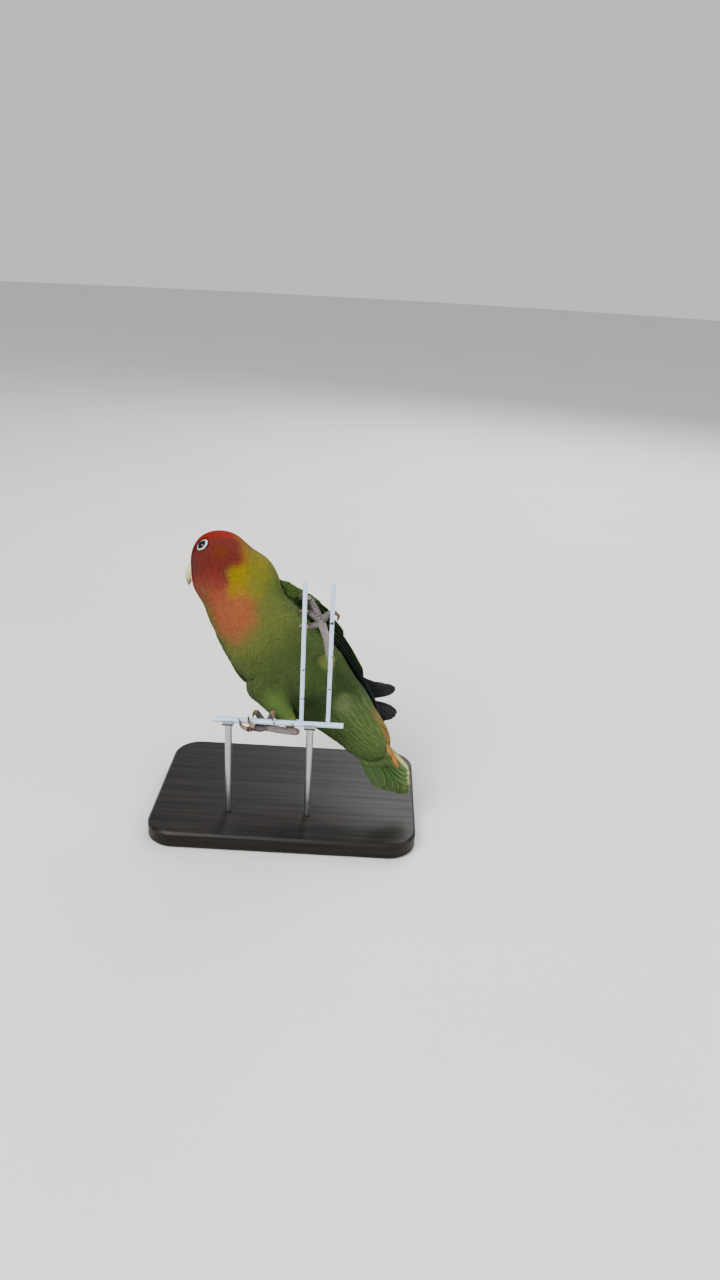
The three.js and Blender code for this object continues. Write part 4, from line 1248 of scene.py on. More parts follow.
def coat_grid(root, shape, length):
    """Fans of locks that lie along the coat's face, from sunk roots to tips that just stand clear."""
    form = COAT_SHAPES[shape]
    t, width, locks = np.array(form["rows"]), np.array(form["width"]), form["locks"]
    n = len(root)
    normal = unit(slope(root))
    way = flow(root, normal)
    way = unit(way + np.cross(normal, way) * rng.normal(0, STRAYS["way"], (n, 1)))
    owner = np.repeat(np.arange(n), locks)
    k = np.tile(np.linspace(-1, 1, locks), n)
    half = (length * FAN_WIDTH)[owner]
    long = length[owner] * (1 - FAN_CURVE * k**2) * rng.normal(1, STRAYS["length"], len(owner))
    across = np.cross(normal, way)[owner]
    depth = coat_depth(root)[owner]
    lift = np.interp(t, [0, 0.5, 1], [-1, -0.4, 0])[None] * (depth * ROOT_SINK)[:, None]
    rise = TIP_RISE - SIDE_DROP * np.abs(k) + rng.normal(0, STRAYS["lift"], len(owner))
    lift = lift + rise[:, None] * t
    start = snap(root[owner] + across * (k * half * FAN_ROOT)[:, None], lift[:, 0], 2)
    lean = k * half * (1 - FAN_ROOT) / long + rng.normal(0, STRAYS["lean"], len(owner))
    mid, up, way = grow(start, unit(way[owner] + across * lean[:, None]), long, t, lift)
    side = np.cross(up, way)[:, :, None]
    aside = (half * LOCK_OVERLAP / locks)[:, None, None] * width[None, :, None] * LOCK_COLUMNS
    ridge = LOCK_RIDGE * (1 - np.abs(LOCK_COLUMNS)) * np.ones((1, len(t), 1))
    grid = mid[:, :, None] + side * aside[..., None] + up[:, :, None] * ridge[..., None]
    normals = np.broadcast_to(up[:, :, None], grid.shape)
    lie = np.stack(np.broadcast_arrays(t[None, :, None] * long[:, None, None], aside), -1)
    return grid, normals, t, owner, lie


def off_eyes(grid):
    """Whether feathers stay off the eyes and their rings."""
    tip = grid[:, -1, 1]
    clear = np.ones(len(grid), bool)
    for middle, out in EYES.values():
        d = tip - middle
        aside = np.linalg.norm(d - out * (d @ out)[:, None], axis=1)
        clear &= (aside > EYE_FREE) | (d @ out < 0)
    return clear


def dress(name, shape, root, material, slot):
    """One part of the coat, from its roots."""
    length = feather_length(root) * rng.uniform(*LENGTH_SPREAD, len(root))
    grid, normals, t, owner, lie = coat_grid(root, shape, length)
    keep = off_eyes(grid)
    grid, normals, owner, lie = grid[keep], normals[keep], owner[keep], lie[keep]
    base, tips = coat_colour(root)[owner], coat_colour(grid[:, -1, 1])
    fan_tone = rng.normal(1, TONES["fan"], (len(root), 1))[owner]
    tone = fan_tone * rng.normal(1, TONES["lock"], (len(owner), 1))
    warm = rng.normal(0, TONES["hue"], (len(root), 3))[owner]
    colour = mix(base[:, None, None], tips[:, None, None], t[None, :, None, None])
    shade = np.interp(t, *ROOT_SHADE)[None, :, None, None]
    colour = colour * shade * (tone * (1 + warm))[:, None, None]
    colour = np.broadcast_to(colour, (*grid.shape[:3], 3))
    u, degrees, _ = coordinates(root)
    corner = bake_place(degrees, u)[owner][:, None, None]
    spread = np.stack(np.broadcast_arrays(LOCK_COLUMNS / 2, t[None, :, None] - 0.5), -1) * BAKE_PATCH
    bake = corner + np.broadcast_to(spread, (*grid.shape[:3], 2))
    in_pieces(name, material, slot, grid, normals, LOCK_THICKNESS, colour, lie, bake)


def make_coat(skin):
    root = scatter(skin.data, coat_spacing, COAT_TRIES)
    root = root[~under_wing(root)]
    head = coordinates(root)[0] > HEAD_START
    dress("face_coat", "face", root[head], FACE_PLUMAGE, "face_feathers")
    dress("body_coat", "body", root[~head], BODY_PLUMAGE, "body_feathers")


# Wings and tail: tiers of feathers on a sheet

# Places down a feather, and its width there
ROWS = {
    "long": (
        (0, 0.15, 0.3, 0.45, 0.6, 0.72, 0.82, 0.89, 0.94, 0.975, 0.993, 1),
        (0.45, 0.7, 0.86, 0.95, 1, 1, 0.97, 0.88, 0.72, 0.5, 0.27, 0.1),
    ),
    "short": (
        (0, 0.2, 0.4, 0.6, 0.75, 0.87, 0.95, 0.985, 1),
        (0.6, 0.82, 0.95, 1, 0.97, 0.83, 0.58, 0.34, 0.12),
    ),
    "lock": ((0, 0.3, 0.6, 0.85, 1), (0.8, 1, 0.95, 0.75, 0.2)),
}
VANE_COLUMNS = np.array([-1, -0.72, -0.4, -0.09, 0, 0.09, 0.4, 0.72, 1])
VANE_THICKNESS = 0.22
SOFT_THICKNESS = 0.06
SHAFT = 4
SHAFT_RISE = (0.13, 0.04)
VANE_CROWN = 0.1
VANE_RIPPLE = 0.04
EDGE_FRAY = 0.003
# Feathers too stiff to bend round the sheet lie in the plane that it has between these places across it
STIFF_KINDS = ("primary", "secondary", "greater", "median")
STIFF_PLACES = (0.42, 0.9)
# How far single feathers, and fans of locks, stray along the sheet and across it
VANE_STRAY = (0.006, 0.004)
FAN_STRAY = (0.011, 0.006)
LOCK_STRAY = (0.003, 0.002)
WIDTH_SPREAD = (0.96, 1.04)
TIER_CURVE = 0.2
FAN_DROOP = 0.15
TIER_TONES = {"feather": 0.06, "lock": 0.04}
# Painted shade at the roots of the wings' and tail's feathers, where the row over them shades them: factor by
# place down a feather
TIER_SHADE = ([0, 0.3], [0.6, 1])


def tier(kind, count, rows, root, tip, width, lift, roll=0.0, **more):
    """A row of feathers. Root and tip are each the first and last one's place, along the sheet and across
    it; width is the first and last one's in mm, and lift their height at root and tip; roll tilts them."""
    return {"kind": kind, "count": count, "rows": rows, "root": root, "tip": tip, "width": width,
            "lift": lift, "roll": roll, **more}


def lesser_tier(tip, margin, count, width, high):
    """A row of fans at the front of the wing, up to a margin from its edges."""
    start = max(tip - 0.12, WING_START)
    return tier("lesser", count, "lock", ((start, margin), (start, 1 - margin)),
                ((tip, margin), (tip - 0.008, 1 - margin)), (width, width),
                ((-2.0, high), (-1.9, high + 0.25)), 0.2, locks=9)


def under_tier(count, root, margin, tips, width, lift):
    """A row of fans under the tail, from a margin at each side of it."""
    return tier("under_covert", count, "lock", ((root, margin), (root, 1 - margin)), tips, (width, width),
                (lift, lift), locks=13)


WING_START = -0.03
WING_TIERS = [
    tier("primary", 5, "long", ((0.42, 0.2), (0.46, 0.46)), ((0.955, 0.14), (1.0, 0.42)), (7, 7.6),
         ((-4.4, -1.9), (-4.2, -1.5)), 0.3),
    tier("primary", 5, "long", ((0.46, 0.5), (0.46, 0.8)), ((0.995, 0.86), (0.85, 0.98)), (7.6, 7.2),
         ((-4.0, -1), (-3.8, -1.6)), 0.3),
    tier("secondary", 11, "long", ((0.38, 0.16), (0.34, 0.92)), ((0.73, 0.16), (0.66, 0.95)), (6.2, 6.2),
         ((-3.3, -0.8), (-3.0, -0.4)), 0.4),
    tier("greater", 13, "short", ((0.26, 0.08), (0.24, 0.94)), ((0.51, 0.08), (0.48, 0.96)), (5.4, 5.4),
         ((-2.9, -0.55), (-2.7, -0.2)), 0.35),
    tier("median", 14, "short", ((0.16, 0.06), (0.15, 0.94)), ((0.37, 0.06), (0.35, 0.95)), (5, 5),
         ((-2.6, -0.4), (-2.4, -0.1)), 0.3),
    lesser_tier(0.28, 0.05, 17, 4.4, -0.3),
    lesser_tier(0.243, 0.04, 18, 4.2, -0.25),
    lesser_tier(0.206, 0.04, 18, 4.1, -0.2),
    lesser_tier(0.17, 0.05, 18, 4.0, -0.12),
    lesser_tier(0.136, 0.05, 18, 3.9, -0.05),
    lesser_tier(0.103, 0.06, 17, 3.8, 0.02),
    lesser_tier(0.07, 0.09, 16, 3.7, 0.08),
    lesser_tier(0.038, 0.13, 15, 3.6, 0.1),
]

TAIL_TIERS = [
    tier("rectrix", 6, "long", ((0.02, 0.5), (0.02, 0.34)), ((1, 0.5), (0.76, 0.06)), (7.5, 6.2),
         ((0, 0), (-1.5, -1.5)), 0.15, side=1),
    tier("rectrix", 6, "long", ((0.02, 0.54), (0.02, 0.66)), ((0.97, 0.57), (0.75, 0.9)), (7.5, 8),
         ((-0.35, -0.35), (-1.8, -1.8)), -0.15, side=-1, bunch=2.2),
    tier("upper_covert", 5, "short", ((-0.08, 0.22), (-0.08, 0.78)), ((0.34, 0.2), (0.34, 0.8)), (5.4, 5.4),
         ((0.6, 1.0), (0.6, 1.0))),
    tier("upper_covert", 5, "short", ((-0.2, 0.16), (-0.2, 0.84)), ((0.18, 0.18), (0.18, 0.82)), (5.4, 5.4),
         ((1.4, 1.5), (1.4, 1.5))),
    under_tier(6, 0.1, 0.2, ((0.66, 0.24), (0.44, 0.78)), 5.6, (-2.2, -2.2)),
    under_tier(6, -0.04, 0.16, ((0.52, 0.18), (0.36, 0.82)), 5.6, (-3.6, -2.5)),
    under_tier(7, -0.16, 0.14, ((0.38, 0.16), (0.28, 0.84)), 5.6, (-5.0, -3.0)),
    under_tier(7, -0.28, 0.12, ((0.24, 0.14), (0.18, 0.86)), 5.8, (-6.4, -3.8)),
]

WING_GREEN = srgb(58, 82, 42)
WING_EDGE = srgb(88, 112, 52)
LESSER_GREEN = srgb(56, 74, 40)
FLIGHT_BLACK = srgb(48, 48, 50)
FLIGHT_GREY = srgb(104, 100, 98)
FLIGHT_BLUE = srgb(48, 92, 84)
TAIL_GREEN = srgb(80, 122, 48)
TAIL_ORANGE = srgb(226, 96, 44)
TAIL_BAND = srgb(34, 36, 34)
TAIL_TIP_TONE = srgb(150, 176, 92)
UNDER_COVERT = srgb(86, 102, 62)
TAIL_UNDER = srgb(74, 92, 58)
TAIL_CREAM = srgb(206, 196, 140)
PRIMARY_UNDER = srgb(58, 58, 60)


def feather_colour(kind, t, k, place):
    """Colour over a feather: t from root to tip, k across it with 1 at the back, place from first to last."""
    edge = smooth(np.abs(k), 0.55, 1.0)
    shaft = smooth(np.abs(k), 0.12, 0.0)
    if kind == "primary":
        outer = smooth(k, -0.05, -0.35)
        tone = mix(FLIGHT_BLACK, FLIGHT_BLUE, outer * smooth(t, 0.85, 0.35) * 0.8)
        return mix(tone, FLIGHT_GREY, edge * 0.5 * smooth(t, 0.5, 1))
    if kind == "secondary":
        tone = mix(mix(FLIGHT_BLACK, WING_GREEN, 0.35), WING_GREEN, smooth(k, 0.3, -0.2))
        return mix(tone, WING_EDGE, smooth(k, -0.55, -1.0) * 0.7)
    if kind in ("greater", "median"):
        tone = mix(WING_GREEN * 0.8, WING_GREEN * 1.15, smooth(t, 0.2, 0.9))
        return mix(mix(tone, WING_EDGE, edge * 0.55), tone * 0.6, shaft * 0.6)
    if kind == "lesser":
        tone = mix(LESSER_GREEN * 0.6, LESSER_GREEN * 1.1, smooth(t, 0.2, 0.8))
        return mix(tone, WING_EDGE, smooth(np.maximum(np.abs(k) * t, smooth(t, 0.85, 1)), 0.55, 1) * 0.6)
    if kind == "rectrix":
        outer = smooth(np.abs(place), 0.12, 0.3) * smooth(np.abs(k), 0.98, 0.8)
        tone = mix(TAIL_GREEN, TAIL_GREEN * 0.75, shaft * 0.6)
        patch = smooth(t, 0.34, 0.42) * smooth(t, 0.8, 0.72) * outer
        tone = mix(tone, TAIL_ORANGE, patch * 0.9)
        band = smooth(t, 0.74, 0.79) * smooth(t, 0.9, 0.85) * outer
        tone = mix(tone, TAIL_BAND, band * 0.9)
        return mix(tone, TAIL_TIP_TONE, smooth(t, 0.9, 0.97) * 0.6)
    if kind == "upper_covert":
        return mix(RUMP, RUMP * 1.25, smooth(t, 0.4, 1)) * (1 - 0.3 * shaft)
    return under_colour(kind, t, k, place)


def under_colour(kind, t, k, place):
    """Colour of a feather's lower face; the tail's edge to the bird's left is cream and peach."""
    edge = smooth(np.abs(k), 0.5, 1.0)
    shaft = smooth(np.abs(k), 0.12, 0.0)
    if kind == "primary":
        return mix(PRIMARY_UNDER, PRIMARY_UNDER * 0.7, shaft) * np.ones_like(t)
    if kind == "rectrix":
        pale = TAIL_UNDER * mix(0.85, 1.5, smooth(place, -0.1, 0.4))
        tone = mix(pale, pale * 0.45, np.maximum(edge * 0.7, shaft * 0.6))
        cream = smooth(place, 0.3, 0.5) * smooth(k, 0.1, -0.45)
        tone = mix(tone, PEACH, cream * smooth(t, 0.75, 0.5) * 0.8)
        return mix(tone, TAIL_CREAM, cream * smooth(t, 0.5, 0.75) * 0.85)
    if kind == "under_covert":
        tone = mix(UNDER_COVERT * 0.75, UNDER_COVERT, smooth(t, 0.1, 0.7))
        tone = mix(tone, UNDER_COVERT * 0.5, np.maximum(edge * 0.35, shaft * 0.3))
        return mix(tone, PEACH, smooth(place, 0.15, 0.0) * smooth(k, 0.3, -0.5) * 0.7)
    return mix(WING_GREEN * 0.8, FLIGHT_BLACK, 0.35) * np.ones_like(t)


def tier_lines(slopes, row):
    """Roots, tips and half widths of a row's feathers, and each one's place in the row and in its fan."""
    count, locks = row["count"], row.get("locks", 1)
    n = count * locks
    i = np.repeat(np.linspace(0, 1, count) ** row.get("bunch", 1), locks)
    fan = np.tile(np.linspace(-1, 1, locks), count) if locks > 1 else np.zeros(n)
    root, tip = (mix(*(np.array(x) for x in row[end]), i[:, None]) for end in ("root", "tip"))
    stray = np.repeat(rng.normal(0, 1, (count, 2)), locks, 0) * (VANE_STRAY if locks == 1 else FAN_STRAY)
    root, tip = root + stray * (locks > 1), tip + stray
    half = mix(*row["width"], i) / 2 * np.repeat(rng.uniform(*WIDTH_SPREAD, count), locks)
    if locks > 1:
        across = slopes(tip[:, 0], tip[:, 1])[1]
        aside = fan * half / np.linalg.norm(across, axis=-1)
        shorter = (tip - root)[:, 0] * TIER_CURVE * fan**2
        tip = tip - np.stack([shorter, -aside], -1) + rng.normal(0, 1, tip.shape) * LOCK_STRAY
        root = root + np.stack([np.zeros(n), aside * FAN_ROOT], -1)
        half = half * LOCK_OVERLAP / locks
    return root, tip, half, i, fan


def tier_grid(surface, row):
    """The feathers of one row as grids on a sheet."""
    point, slopes = surface
    count, locks = row["count"], row.get("locks", 1)
    root, tip, half, i, fan = tier_lines(slopes, row)
    n = len(root)
    t, share = (np.array(x) for x in ROWS[row["rows"]])
    k = VANE_COLUMNS if locks == 1 else LOCK_COLUMNS
    s, q = (mix(root[:, j : j + 1], tip[:, j : j + 1], t) for j in (0, 1))
    stiff = row["kind"] in STIFF_KINDS
    along, across, normal = slopes(s, np.clip(q, *STIFF_PLACES) if stiff else q)
    reach_s, reach_q = ((tip - root)[:, j, None, None] for j in (0, 1))
    way = np.gradient(point(s, q), axis=1) if stiff else along * reach_s + across * reach_q
    side = unit(np.cross(normal, way)) * (half[:, None] * share)[..., None]
    side = side * np.where(dot(side, across) < 0, -1, 1)
    if stiff:
        out = np.broadcast_to(normal[:, :, None], (n, len(t), len(k), 3))
        face = point(s, q)[:, :, None] + side[:, :, None] * k[:, None]
    else:
        aa, ab, bb = (dot(a, b)[..., 0] for a, b in ((along, along), (along, across), (across, across)))
        sa, sb = dot(side, along)[..., 0], dot(side, across)[..., 0]
        ds, dq = (sa * bb - sb * ab) / (aa * bb - ab * ab), (sb * aa - sa * ab) / (aa * bb - ab * ab)
        spots = s[..., None] + ds[..., None] * k, q[..., None] + dq[..., None] * k
        out, face = slopes(*spots)[2], point(*spots)
    lift = mix(*(np.array(x) for x in row["lift"]), i[:, None])
    height = mix(lift[:, :1], lift[:, 1:], t)[..., None] - VANE_CROWN * np.abs(k) ** 2
    if locks == 1:
        height = height - row["roll"] * share[:, None] * k + rng.normal(0, VANE_RIPPLE, (n, len(t), len(k)))
        height[..., SHAFT] += SHAFT_RISE[0] * (1 - t) + SHAFT_RISE[1]
    else:
        rise = rng.normal(0, VANE_RIPPLE, n) - row["roll"] * fan - FAN_DROOP * fan**2
        height = height + rise[:, None, None] * t[:, None]
    grid = face + out * height[..., None]
    length = np.linalg.norm(grid[:, -1, len(k) // 2] - grid[:, 0, len(k) // 2], axis=-1)
    fray = rng.normal(0, EDGE_FRAY, (n, len(t), len(k))) * (np.abs(k) > 0.5) * t[:, None]
    grid = grid + (unit(way)[:, :, None] * (fray * length[:, None, None])[..., None])
    reached, aside = t[None, :, None] * length[:, None, None], (half[:, None] * share)[..., None] * k
    lie = np.stack(np.broadcast_arrays(reached, aside), -1)
    place = (i * row.get("side", 1))[:, None, None, None]
    spread = k[None, None, :, None] if locks == 1 else fan[:, None, None, None] * np.ones((len(k), 1))
    spots = np.broadcast_arrays(t[None, :, None, None], spread, place)
    tone = np.repeat(rng.normal(1, TIER_TONES["feather"], (count, 1, 1, 1)), locks, 0)
    tone = tone * rng.normal(1, TIER_TONES["lock"], (n, 1, 1, 1))
    tone = tone * np.interp(t, *TIER_SHADE)[None, :, None, None]
    colours = (shade(row["kind"], *spots) * tone for shade in (feather_colour, under_colour))
    return grid, out, lie, *colours


def make_tiers(name, surface, tiers, slot, node):
    """A piece for each kind of feather of a wing or the tail; in its baking map each has its own cell."""
    kinds = list(dict.fromkeys(row["kind"] for row in tiers))
    for kind in kinds:
        grids = [tier_grid(surface, row) for row in tiers if row["kind"] == kind]
        grid, out, lie, colour, under = (np.concatenate(parts) for parts in zip(*grids))
        n = len(grid)
        wide = math.ceil(math.sqrt(n))
        t, k = np.linspace(0, 1, grid.shape[1]), np.linspace(0, 1, grid.shape[2])
        cell = np.stack([np.arange(n) % wide, np.arange(n) // wide], -1)[:, None, None]
        inner = np.stack(np.broadcast_arrays(k[None, None], t[None, :, None]), -1) * 0.9 + 0.05
        soft = grid.shape[2] == len(LOCK_COLUMNS)
        thick, material = (SOFT_THICKNESS, BODY_PLUMAGE) if soft else (VANE_THICKNESS, FLIGHT_PLUMAGE)
        mesh = vane_mesh(f"{name}_{kind}", grid, out, thick, colour, lie, (cell + inner) / wide, under)
        piece(f"{name}_{kind}", mesh, material, slot, *([node] if kind == kinds[0] else []))


# Bill, eyes and feet

def bill_rings(sections, keel, above, below):
    """Rings along one half of the bill: keel narrows its top, above and below scale its two faces."""
    steps, sides = 64, 48
    sections = np.array(sections, float)
    t = np.linspace(0, 1, steps)
    flat = catmull(np.stack([sections[:, 0], sections[:, 1], sections[:, 4] / 10], -1), t, 0)
    sizes = catmull(np.stack([sections[:, 2], sections[:, 3], sections[:, 2]], -1), t, 0)
    lean = np.radians(flat[:, 2:] * 10)
    b = np.linspace(0, 2 * np.pi, sides, endpoint=False)[None]
    high = np.sin(b) * np.where(np.sin(b) > 0, above, below) * sizes[:, 1:2]
    wide = np.cos(b) * (1 - keel * np.maximum(np.sin(b), 0) ** 1.5) * sizes[:, :1]
    return in_head(flat[:, :1] - np.sin(lean) * high, wide, flat[:, 1:2] + np.cos(lean) * high)


def along_rings(rings):
    """Place from first ring to last of each point of a lofted mesh."""
    return np.concatenate([np.repeat(np.linspace(0, 1, len(rings)), rings.shape[1]), [0, 1]])[:, None]


BILL_IVORY = srgb(214, 202, 160)
BILL_BASE = srgb(190, 192, 150)
BILL_TIP = srgb(126, 104, 74)
CERE_SKIN = srgb(216, 204, 200)
NOSTRIL_SHADOW = srgb(52, 34, 30)
RING_SKIN = srgb(206, 208, 212)
# Sections of each half, how far its top is narrowed, and scales of its upper and its lower face
BILL_HALVES = {"maxilla": (MAXILLA, 0.3, 1.0, 0.95), "mandible": (MANDIBLE, 0.0, 0.9, 1.05)}
CERE_ARC = (-25, 205)
CERE_RADII = (0.3, 0.62, 0.8, 0.62, 0.3)
CERE_MIDDLE = (11.0, 0.0, -2.2)
NOSTRIL_TURNS = (52, 128)
NOSTRIL_SIZE = 0.5
NOSTRIL_PIT = 0.55


def make_bill():
    for name, (sections, *form) in BILL_HALVES.items():
        rings = bill_rings(sections, *form)
        mesh = loft_mesh(name, rings, rings[0].mean(0), rings[-1].mean(0))
        t = along_rings(rings)
        horn = mix(BILL_BASE, BILL_IVORY, smooth(t, 0.25, 0.5))
        paint(mesh, mix(horn, BILL_TIP, smooth(t, 0.62, 1.0)))
        piece("bill_" + name, mesh, HORN, "bill", name)
    make_cere()


def make_cere():
    """The swollen bare band over the base of the maxilla, where it comes out of the feathers."""
    sections, *form = BILL_HALVES["maxilla"]
    rings = bill_rings(sections, *form)
    steps, sides = rings.shape[:2]
    outside = coat_field(rings.reshape(-1, 3)).reshape(steps, sides)
    band = []
    for turn in np.linspace(*CERE_ARC, 11):
        column = int(round(turn / 360 * sides)) % sides
        out = outside[:, column] > -0.1
        first = int(np.argmax(out)) if out.any() else steps // 2
        band.append(rings[first, column])
    rings, start, end = tube_rings(band, CERE_RADII, 28, 110)
    mesh = loft_mesh("cere", rings, start, end)
    p = places(mesh)
    middle = in_head(*CERE_MIDDLE)
    shade = np.ones(len(p))
    for turn in NOSTRIL_TURNS:
        share = (turn - CERE_ARC[0]) / (CERE_ARC[1] - CERE_ARC[0])
        ring = rings[int(share * (len(rings) - 1))].mean(0)
        radius = np.interp(share, np.linspace(0, 1, len(CERE_RADII)), CERE_RADII)
        at = ring + unit(ring - middle + head_forward * 3) * radius
        # Painted shade in the pit of each nostril
        hollow = smooth(np.linalg.norm(p - at, axis=1) / NOSTRIL_SIZE, 1.1, 0.3)
        shade *= 1 - hollow
        p = p + unit(ring - at) * (NOSTRIL_PIT * hollow)[:, None]
    move(mesh, p)
    paint(mesh, mix(NOSTRIL_SHADOW, CERE_SKIN, shade[:, None]))
    piece("cere", mesh, EYE_SKIN, "bill")


EYE_SIDES = 48
IRIS = (srgb(34, 20, 14), srgb(18, 11, 8))
PUPIL = srgb(4, 3, 3)
# Section of the bare ring round an eye: radius and height over the middle of the eye, and painted shade by
# point, darkest at the inner edge against the eye ball and darker on the ring's foot and underside
RING_SECTION = [
    (2.28, 1.4), (2.33, 1.58), (2.45, 1.68), (2.6, 1.64), (2.76, 1.48),
    (2.94, 1.22), (3.12, 0.8), (2.8, 0.3), (2.3, 0.8),
]
RING_SHADE = ([0, 1, 2, 5, 6], [0.25, 0.6, 1, 1, 0.6])
RING_OVAL = 0.06
RING_WRINKLE = 0.012
RING_WRINKLES = 23


def make_eyes():
    angle = np.linspace(0, 2 * np.pi, EYE_SIDES, endpoint=False)
    for side, (middle, out) in EYES.items():
        up = unit(head_up - out * np.dot(head_up, out))
        fore = np.cross(up, out) * (1 if side == "left" else -1)
        turn = np.cos(angle)[:, None] * fore + np.sin(angle)[:, None] * up
        make_eye_ball(side, middle, out, turn)
        make_eye_ring(side, middle, out, turn, angle)


def make_eye_ball(side, middle, out, turn):
    polar = np.linspace(0, np.pi, 30)[1:-1, None, None]
    ball = np.cos(polar) * out + np.sin(polar) * turn
    ends = middle + out * EYE_RADIUS, middle - out * EYE_RADIUS
    mesh = loft_mesh("eye_" + side, middle + ball * EYE_RADIUS, *ends)
    gaze = np.arccos(np.clip((places(mesh) - middle) @ out / EYE_RADIUS, -1, 1))[:, None]
    iris = mix(*IRIS, smooth(gaze, 0.55, 0.8))
    paint(mesh, mix(PUPIL, iris, smooth(gaze, 0.52, 0.56)))
    piece("eye_ball_" + side, mesh, EYE_BALL, "eye", "eye_" + side)


def make_eye_ring(side, middle, out, turn, angle):
    radius, height = (np.array(x)[:, None] for x in zip(*RING_SECTION))
    oval = 1 + RING_OVAL * np.cos(2 * (angle - 0.9)) * smooth(radius, 2.3, 2.8)
    wrinkle = 1 + RING_WRINKLE * np.sin(angle * RING_WRINKLES) * smooth(radius, 2.1, 2.5)
    rings = middle + out * height[..., None] + (radius * oval * wrinkle)[..., None] * turn
    k = np.arange(EYE_SIDES)
    ahead = (k + 1) % EYE_SIDES
    count = len(RING_SECTION)
    faces = []
    for r in range(count):
        a, b = r * EYE_SIDES, (r + 1) % count * EYE_SIDES
        faces.append(np.stack([a + k, a + ahead, b + ahead, b + k], -1))
    mesh = new_mesh("eye_ring_" + side, rings.reshape(-1, 3), [np.concatenate(faces)])
    paint(mesh, RING_SKIN * np.repeat(np.interp(np.arange(count), *RING_SHADE), EYE_SIDES)[:, None])
    piece("eye_ring_" + side, mesh, EYE_SKIN, "face_feathers")


FOOT_PALE = srgb(164, 154, 150)
FOOT_GREY = srgb(112, 104, 106)
FOOT_CREASE_SHADE = srgb(58, 50, 50)
CLAW_PALE = srgb(158, 136, 108)
CLAW_DARK = srgb(52, 40, 34)
SCUTES = {"shank": 10, "toe": 8}
SCUTE_DEPTH = {"shank": 0.04, "toe": 0.17}
SHANK_FLESH = (1.7, 1.6, 1.9)
TOE_FLESH = (1.6, 1.4, 1.15)
FOOT_VOXEL = 0.13


def scute_shape(count, depth):
    """Overlapping scutes along a limb: each swells and then steps in."""
    def shape(t, angle):
        phase = (t * count) % 1.0
        return 1 + depth * (smooth(phase, 0, 0.7) - 0.6) * np.ones_like(angle)
    return shape


def nearest_limb(p, limbs):
    """For points of a foot: which limb is nearest, and the place along it."""
    t = np.linspace(0, 1, 90)
    best, limb, place = np.full(len(p), 1e9), np.zeros(len(p), int), np.zeros(len(p))
    for i, (_, points, radii) in enumerate(limbs):
        middle = catmull(np.array(points, float), t, 0.5)
        gaps = np.linalg.norm(p[:, None] - middle[None], axis=-1)
        near = gaps.argmin(1)
        gap = gaps.min(1) - np.interp(t[near], np.linspace(0, 1, len(radii)), radii)
        limb, place = np.where(gap < best, i, limb), np.where(gap < best, t[near], place)
        best = np.minimum(best, gap)
    return limb, place


def make_feet():
    for side, leg in LEGS.items():
        limbs = [("shank", leg["shank"], SHANK_FLESH)]
        limbs += [("toe", [leg["shank"][-1], *toe], TOE_FLESH) for toe in leg["toes"]]
        meshes = [
            tube_mesh(kind, points, radii, 32, 120, scute_shape(SCUTES[kind], SCUTE_DEPTH[kind]))
            for kind, points, radii in limbs
        ]
        mesh = fuse("foot_" + side, meshes, FOOT_VOXEL, 1)
        p = places(mesh)
        limb, place = nearest_limb(p, limbs)
        toe = (limb > 0)[:, None]
        phase = ((place * np.where(limb > 0, SCUTES["toe"], SCUTES["shank"])) % 1.0)[:, None]
        blotch = 0.5 + 0.5 * np.sin(p @ np.array([1.3, 0.7, 1.9]))[:, None]
        tone = mix(FOOT_PALE, FOOT_GREY, np.clip(0.15 + 0.6 * toe + 0.25 * blotch, 0, 1))
        # Painted light and shade over the scutes: each is darker where it starts and lighter where it swells,
        # with painted shade in the creases between them
        tone = tone * mix(1, mix(0.75, 1.25, smooth(phase, 0.15, 0.8)), mix(0.3, 1, toe))
        crease_shade = np.maximum(smooth(phase, 0.16, 0.02), smooth(phase, 0.93, 1.0))
        paint(mesh, mix(tone, FOOT_CREASE_SHADE, crease_shade * mix(0.15, 0.8, toe)))
        piece("foot_skin_" + side, mesh, FOOT_SKIN, "foot_skin", "foot_" + side)
        for i, claw in enumerate(leg["claws"]):
            rings, start, end = tube_rings(claw, CLAW_RADII, 20, 28)
            mesh = loft_mesh("claw", rings, start, end)
            t = along_rings(rings)
            paint(mesh, mix(CLAW_PALE, CLAW_DARK, smooth(t, 0.1, 0.8)))
            piece(f"claw_horn_{side}_{i + 1}", mesh, CLAW_HORN, "claw", f"claw_{side}_{i + 1}")


# Wire and stand

def finish_stand():
    """The wire and the stand keep the solids' own meshes."""
    for node, material in STAND_FINISH.items():
        materials = frame["nodes"][node].data.materials
        materials.clear()
        materials.append(material)


# Floor, light and camera

FLOOR_RADIUS = 6
ROOM_LIGHT = (0.86, 0.88, 0.9, 1)
ROOM_STRENGTH = 0.65
LIT_POINT = np.array([5.0, 30.0, 20.0])
# Soft lights: place and size in metres, power in watts
LIGHTS = {
    "key": ((-0.5, -0.75, 0.95), 14, 0.7),
    "fill": ((0.85, -0.45, 0.5), 5, 0.9),
    "back": ((0.35, 0.9, 0.8), 8, 0.8),
}


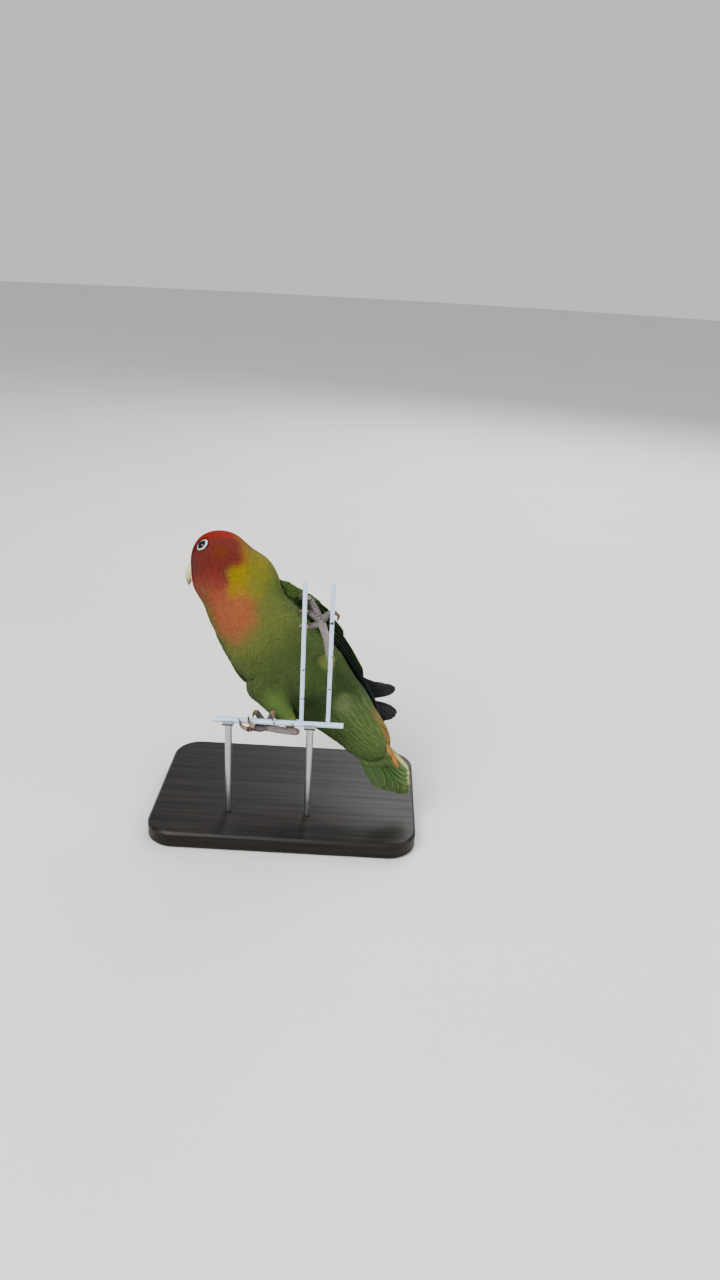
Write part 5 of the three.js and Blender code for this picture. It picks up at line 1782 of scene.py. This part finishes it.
def make_stage():
    bpy.context.scene.view_settings.look = "AgX - Medium High Contrast"
    angle = np.linspace(0, 2 * np.pi, 96, endpoint=False)
    mesh = bpy.data.meshes.new("floor")
    rim = [(FLOOR_RADIUS * math.cos(a), FLOOR_RADIUS * math.sin(a), 0) for a in angle]
    mesh.from_pydata(rim, [], [list(range(len(rim)))])
    floor = bpy.data.objects.new("floor", mesh)
    mesh.materials.append(floor_material())
    bpy.context.scene.collection.objects.link(floor)
    room = bpy.data.worlds.new("soft_room")
    bpy.context.scene.world = room
    room.use_nodes = True
    room.node_tree.nodes["Background"].inputs["Color"].default_value = ROOM_LIGHT
    room.node_tree.nodes["Background"].inputs["Strength"].default_value = ROOM_STRENGTH
    target = Vector(world(LIT_POINT))
    for name, (place, power, size) in LIGHTS.items():
        light = bpy.data.lights.new(name, "AREA")
        light.energy = power
        light.size = size
        obj = bpy.data.objects.new(name, light)
        obj.location = place
        obj.rotation_euler = (target - Vector(place)).to_track_quat("-Z", "Y").to_euler()
        bpy.context.scene.collection.objects.link(obj)


def make_camera():
    down, roll = CAMERA_DOWN, CAMERA_ROLL
    right0, up0 = np.array([1, 0, 0]), np.array([0, math.sin(down), math.cos(down)])
    ahead = np.array([0, math.cos(down), -math.sin(down)])
    right = math.cos(roll) * right0 + math.sin(roll) * up0
    up = -math.sin(roll) * right0 + math.cos(roll) * up0
    data = bpy.data.cameras.new("camera")
    data.sensor_fit = "VERTICAL"
    data.sensor_height = SENSOR
    data.lens = SENSOR * FOCAL_PIXELS / IMAGE_HEIGHT
    data.clip_start = 0.01
    camera = bpy.data.objects.new("camera", data)
    turn = Matrix(np.stack([right, up, -ahead], 1).tolist()).to_4x4()
    camera.matrix_world = Matrix.Translation(Vector(world(np.array(CAMERA_AT)))) @ turn
    bpy.context.scene.collection.objects.link(camera)
    bpy.context.scene.camera = camera


skin = make_skin()
make_coat(skin)
for side in WINGS:
    make_tiers("wing_" + side, SHEETS[side], WING_TIERS, "wing_feathers", "wing_" + side)
make_tiers("tail", TAIL, TAIL_TIERS, "tail_feathers", "tail")
make_bill()
make_eyes()
make_feet()
finish_stand()
make_stage()
make_camera()
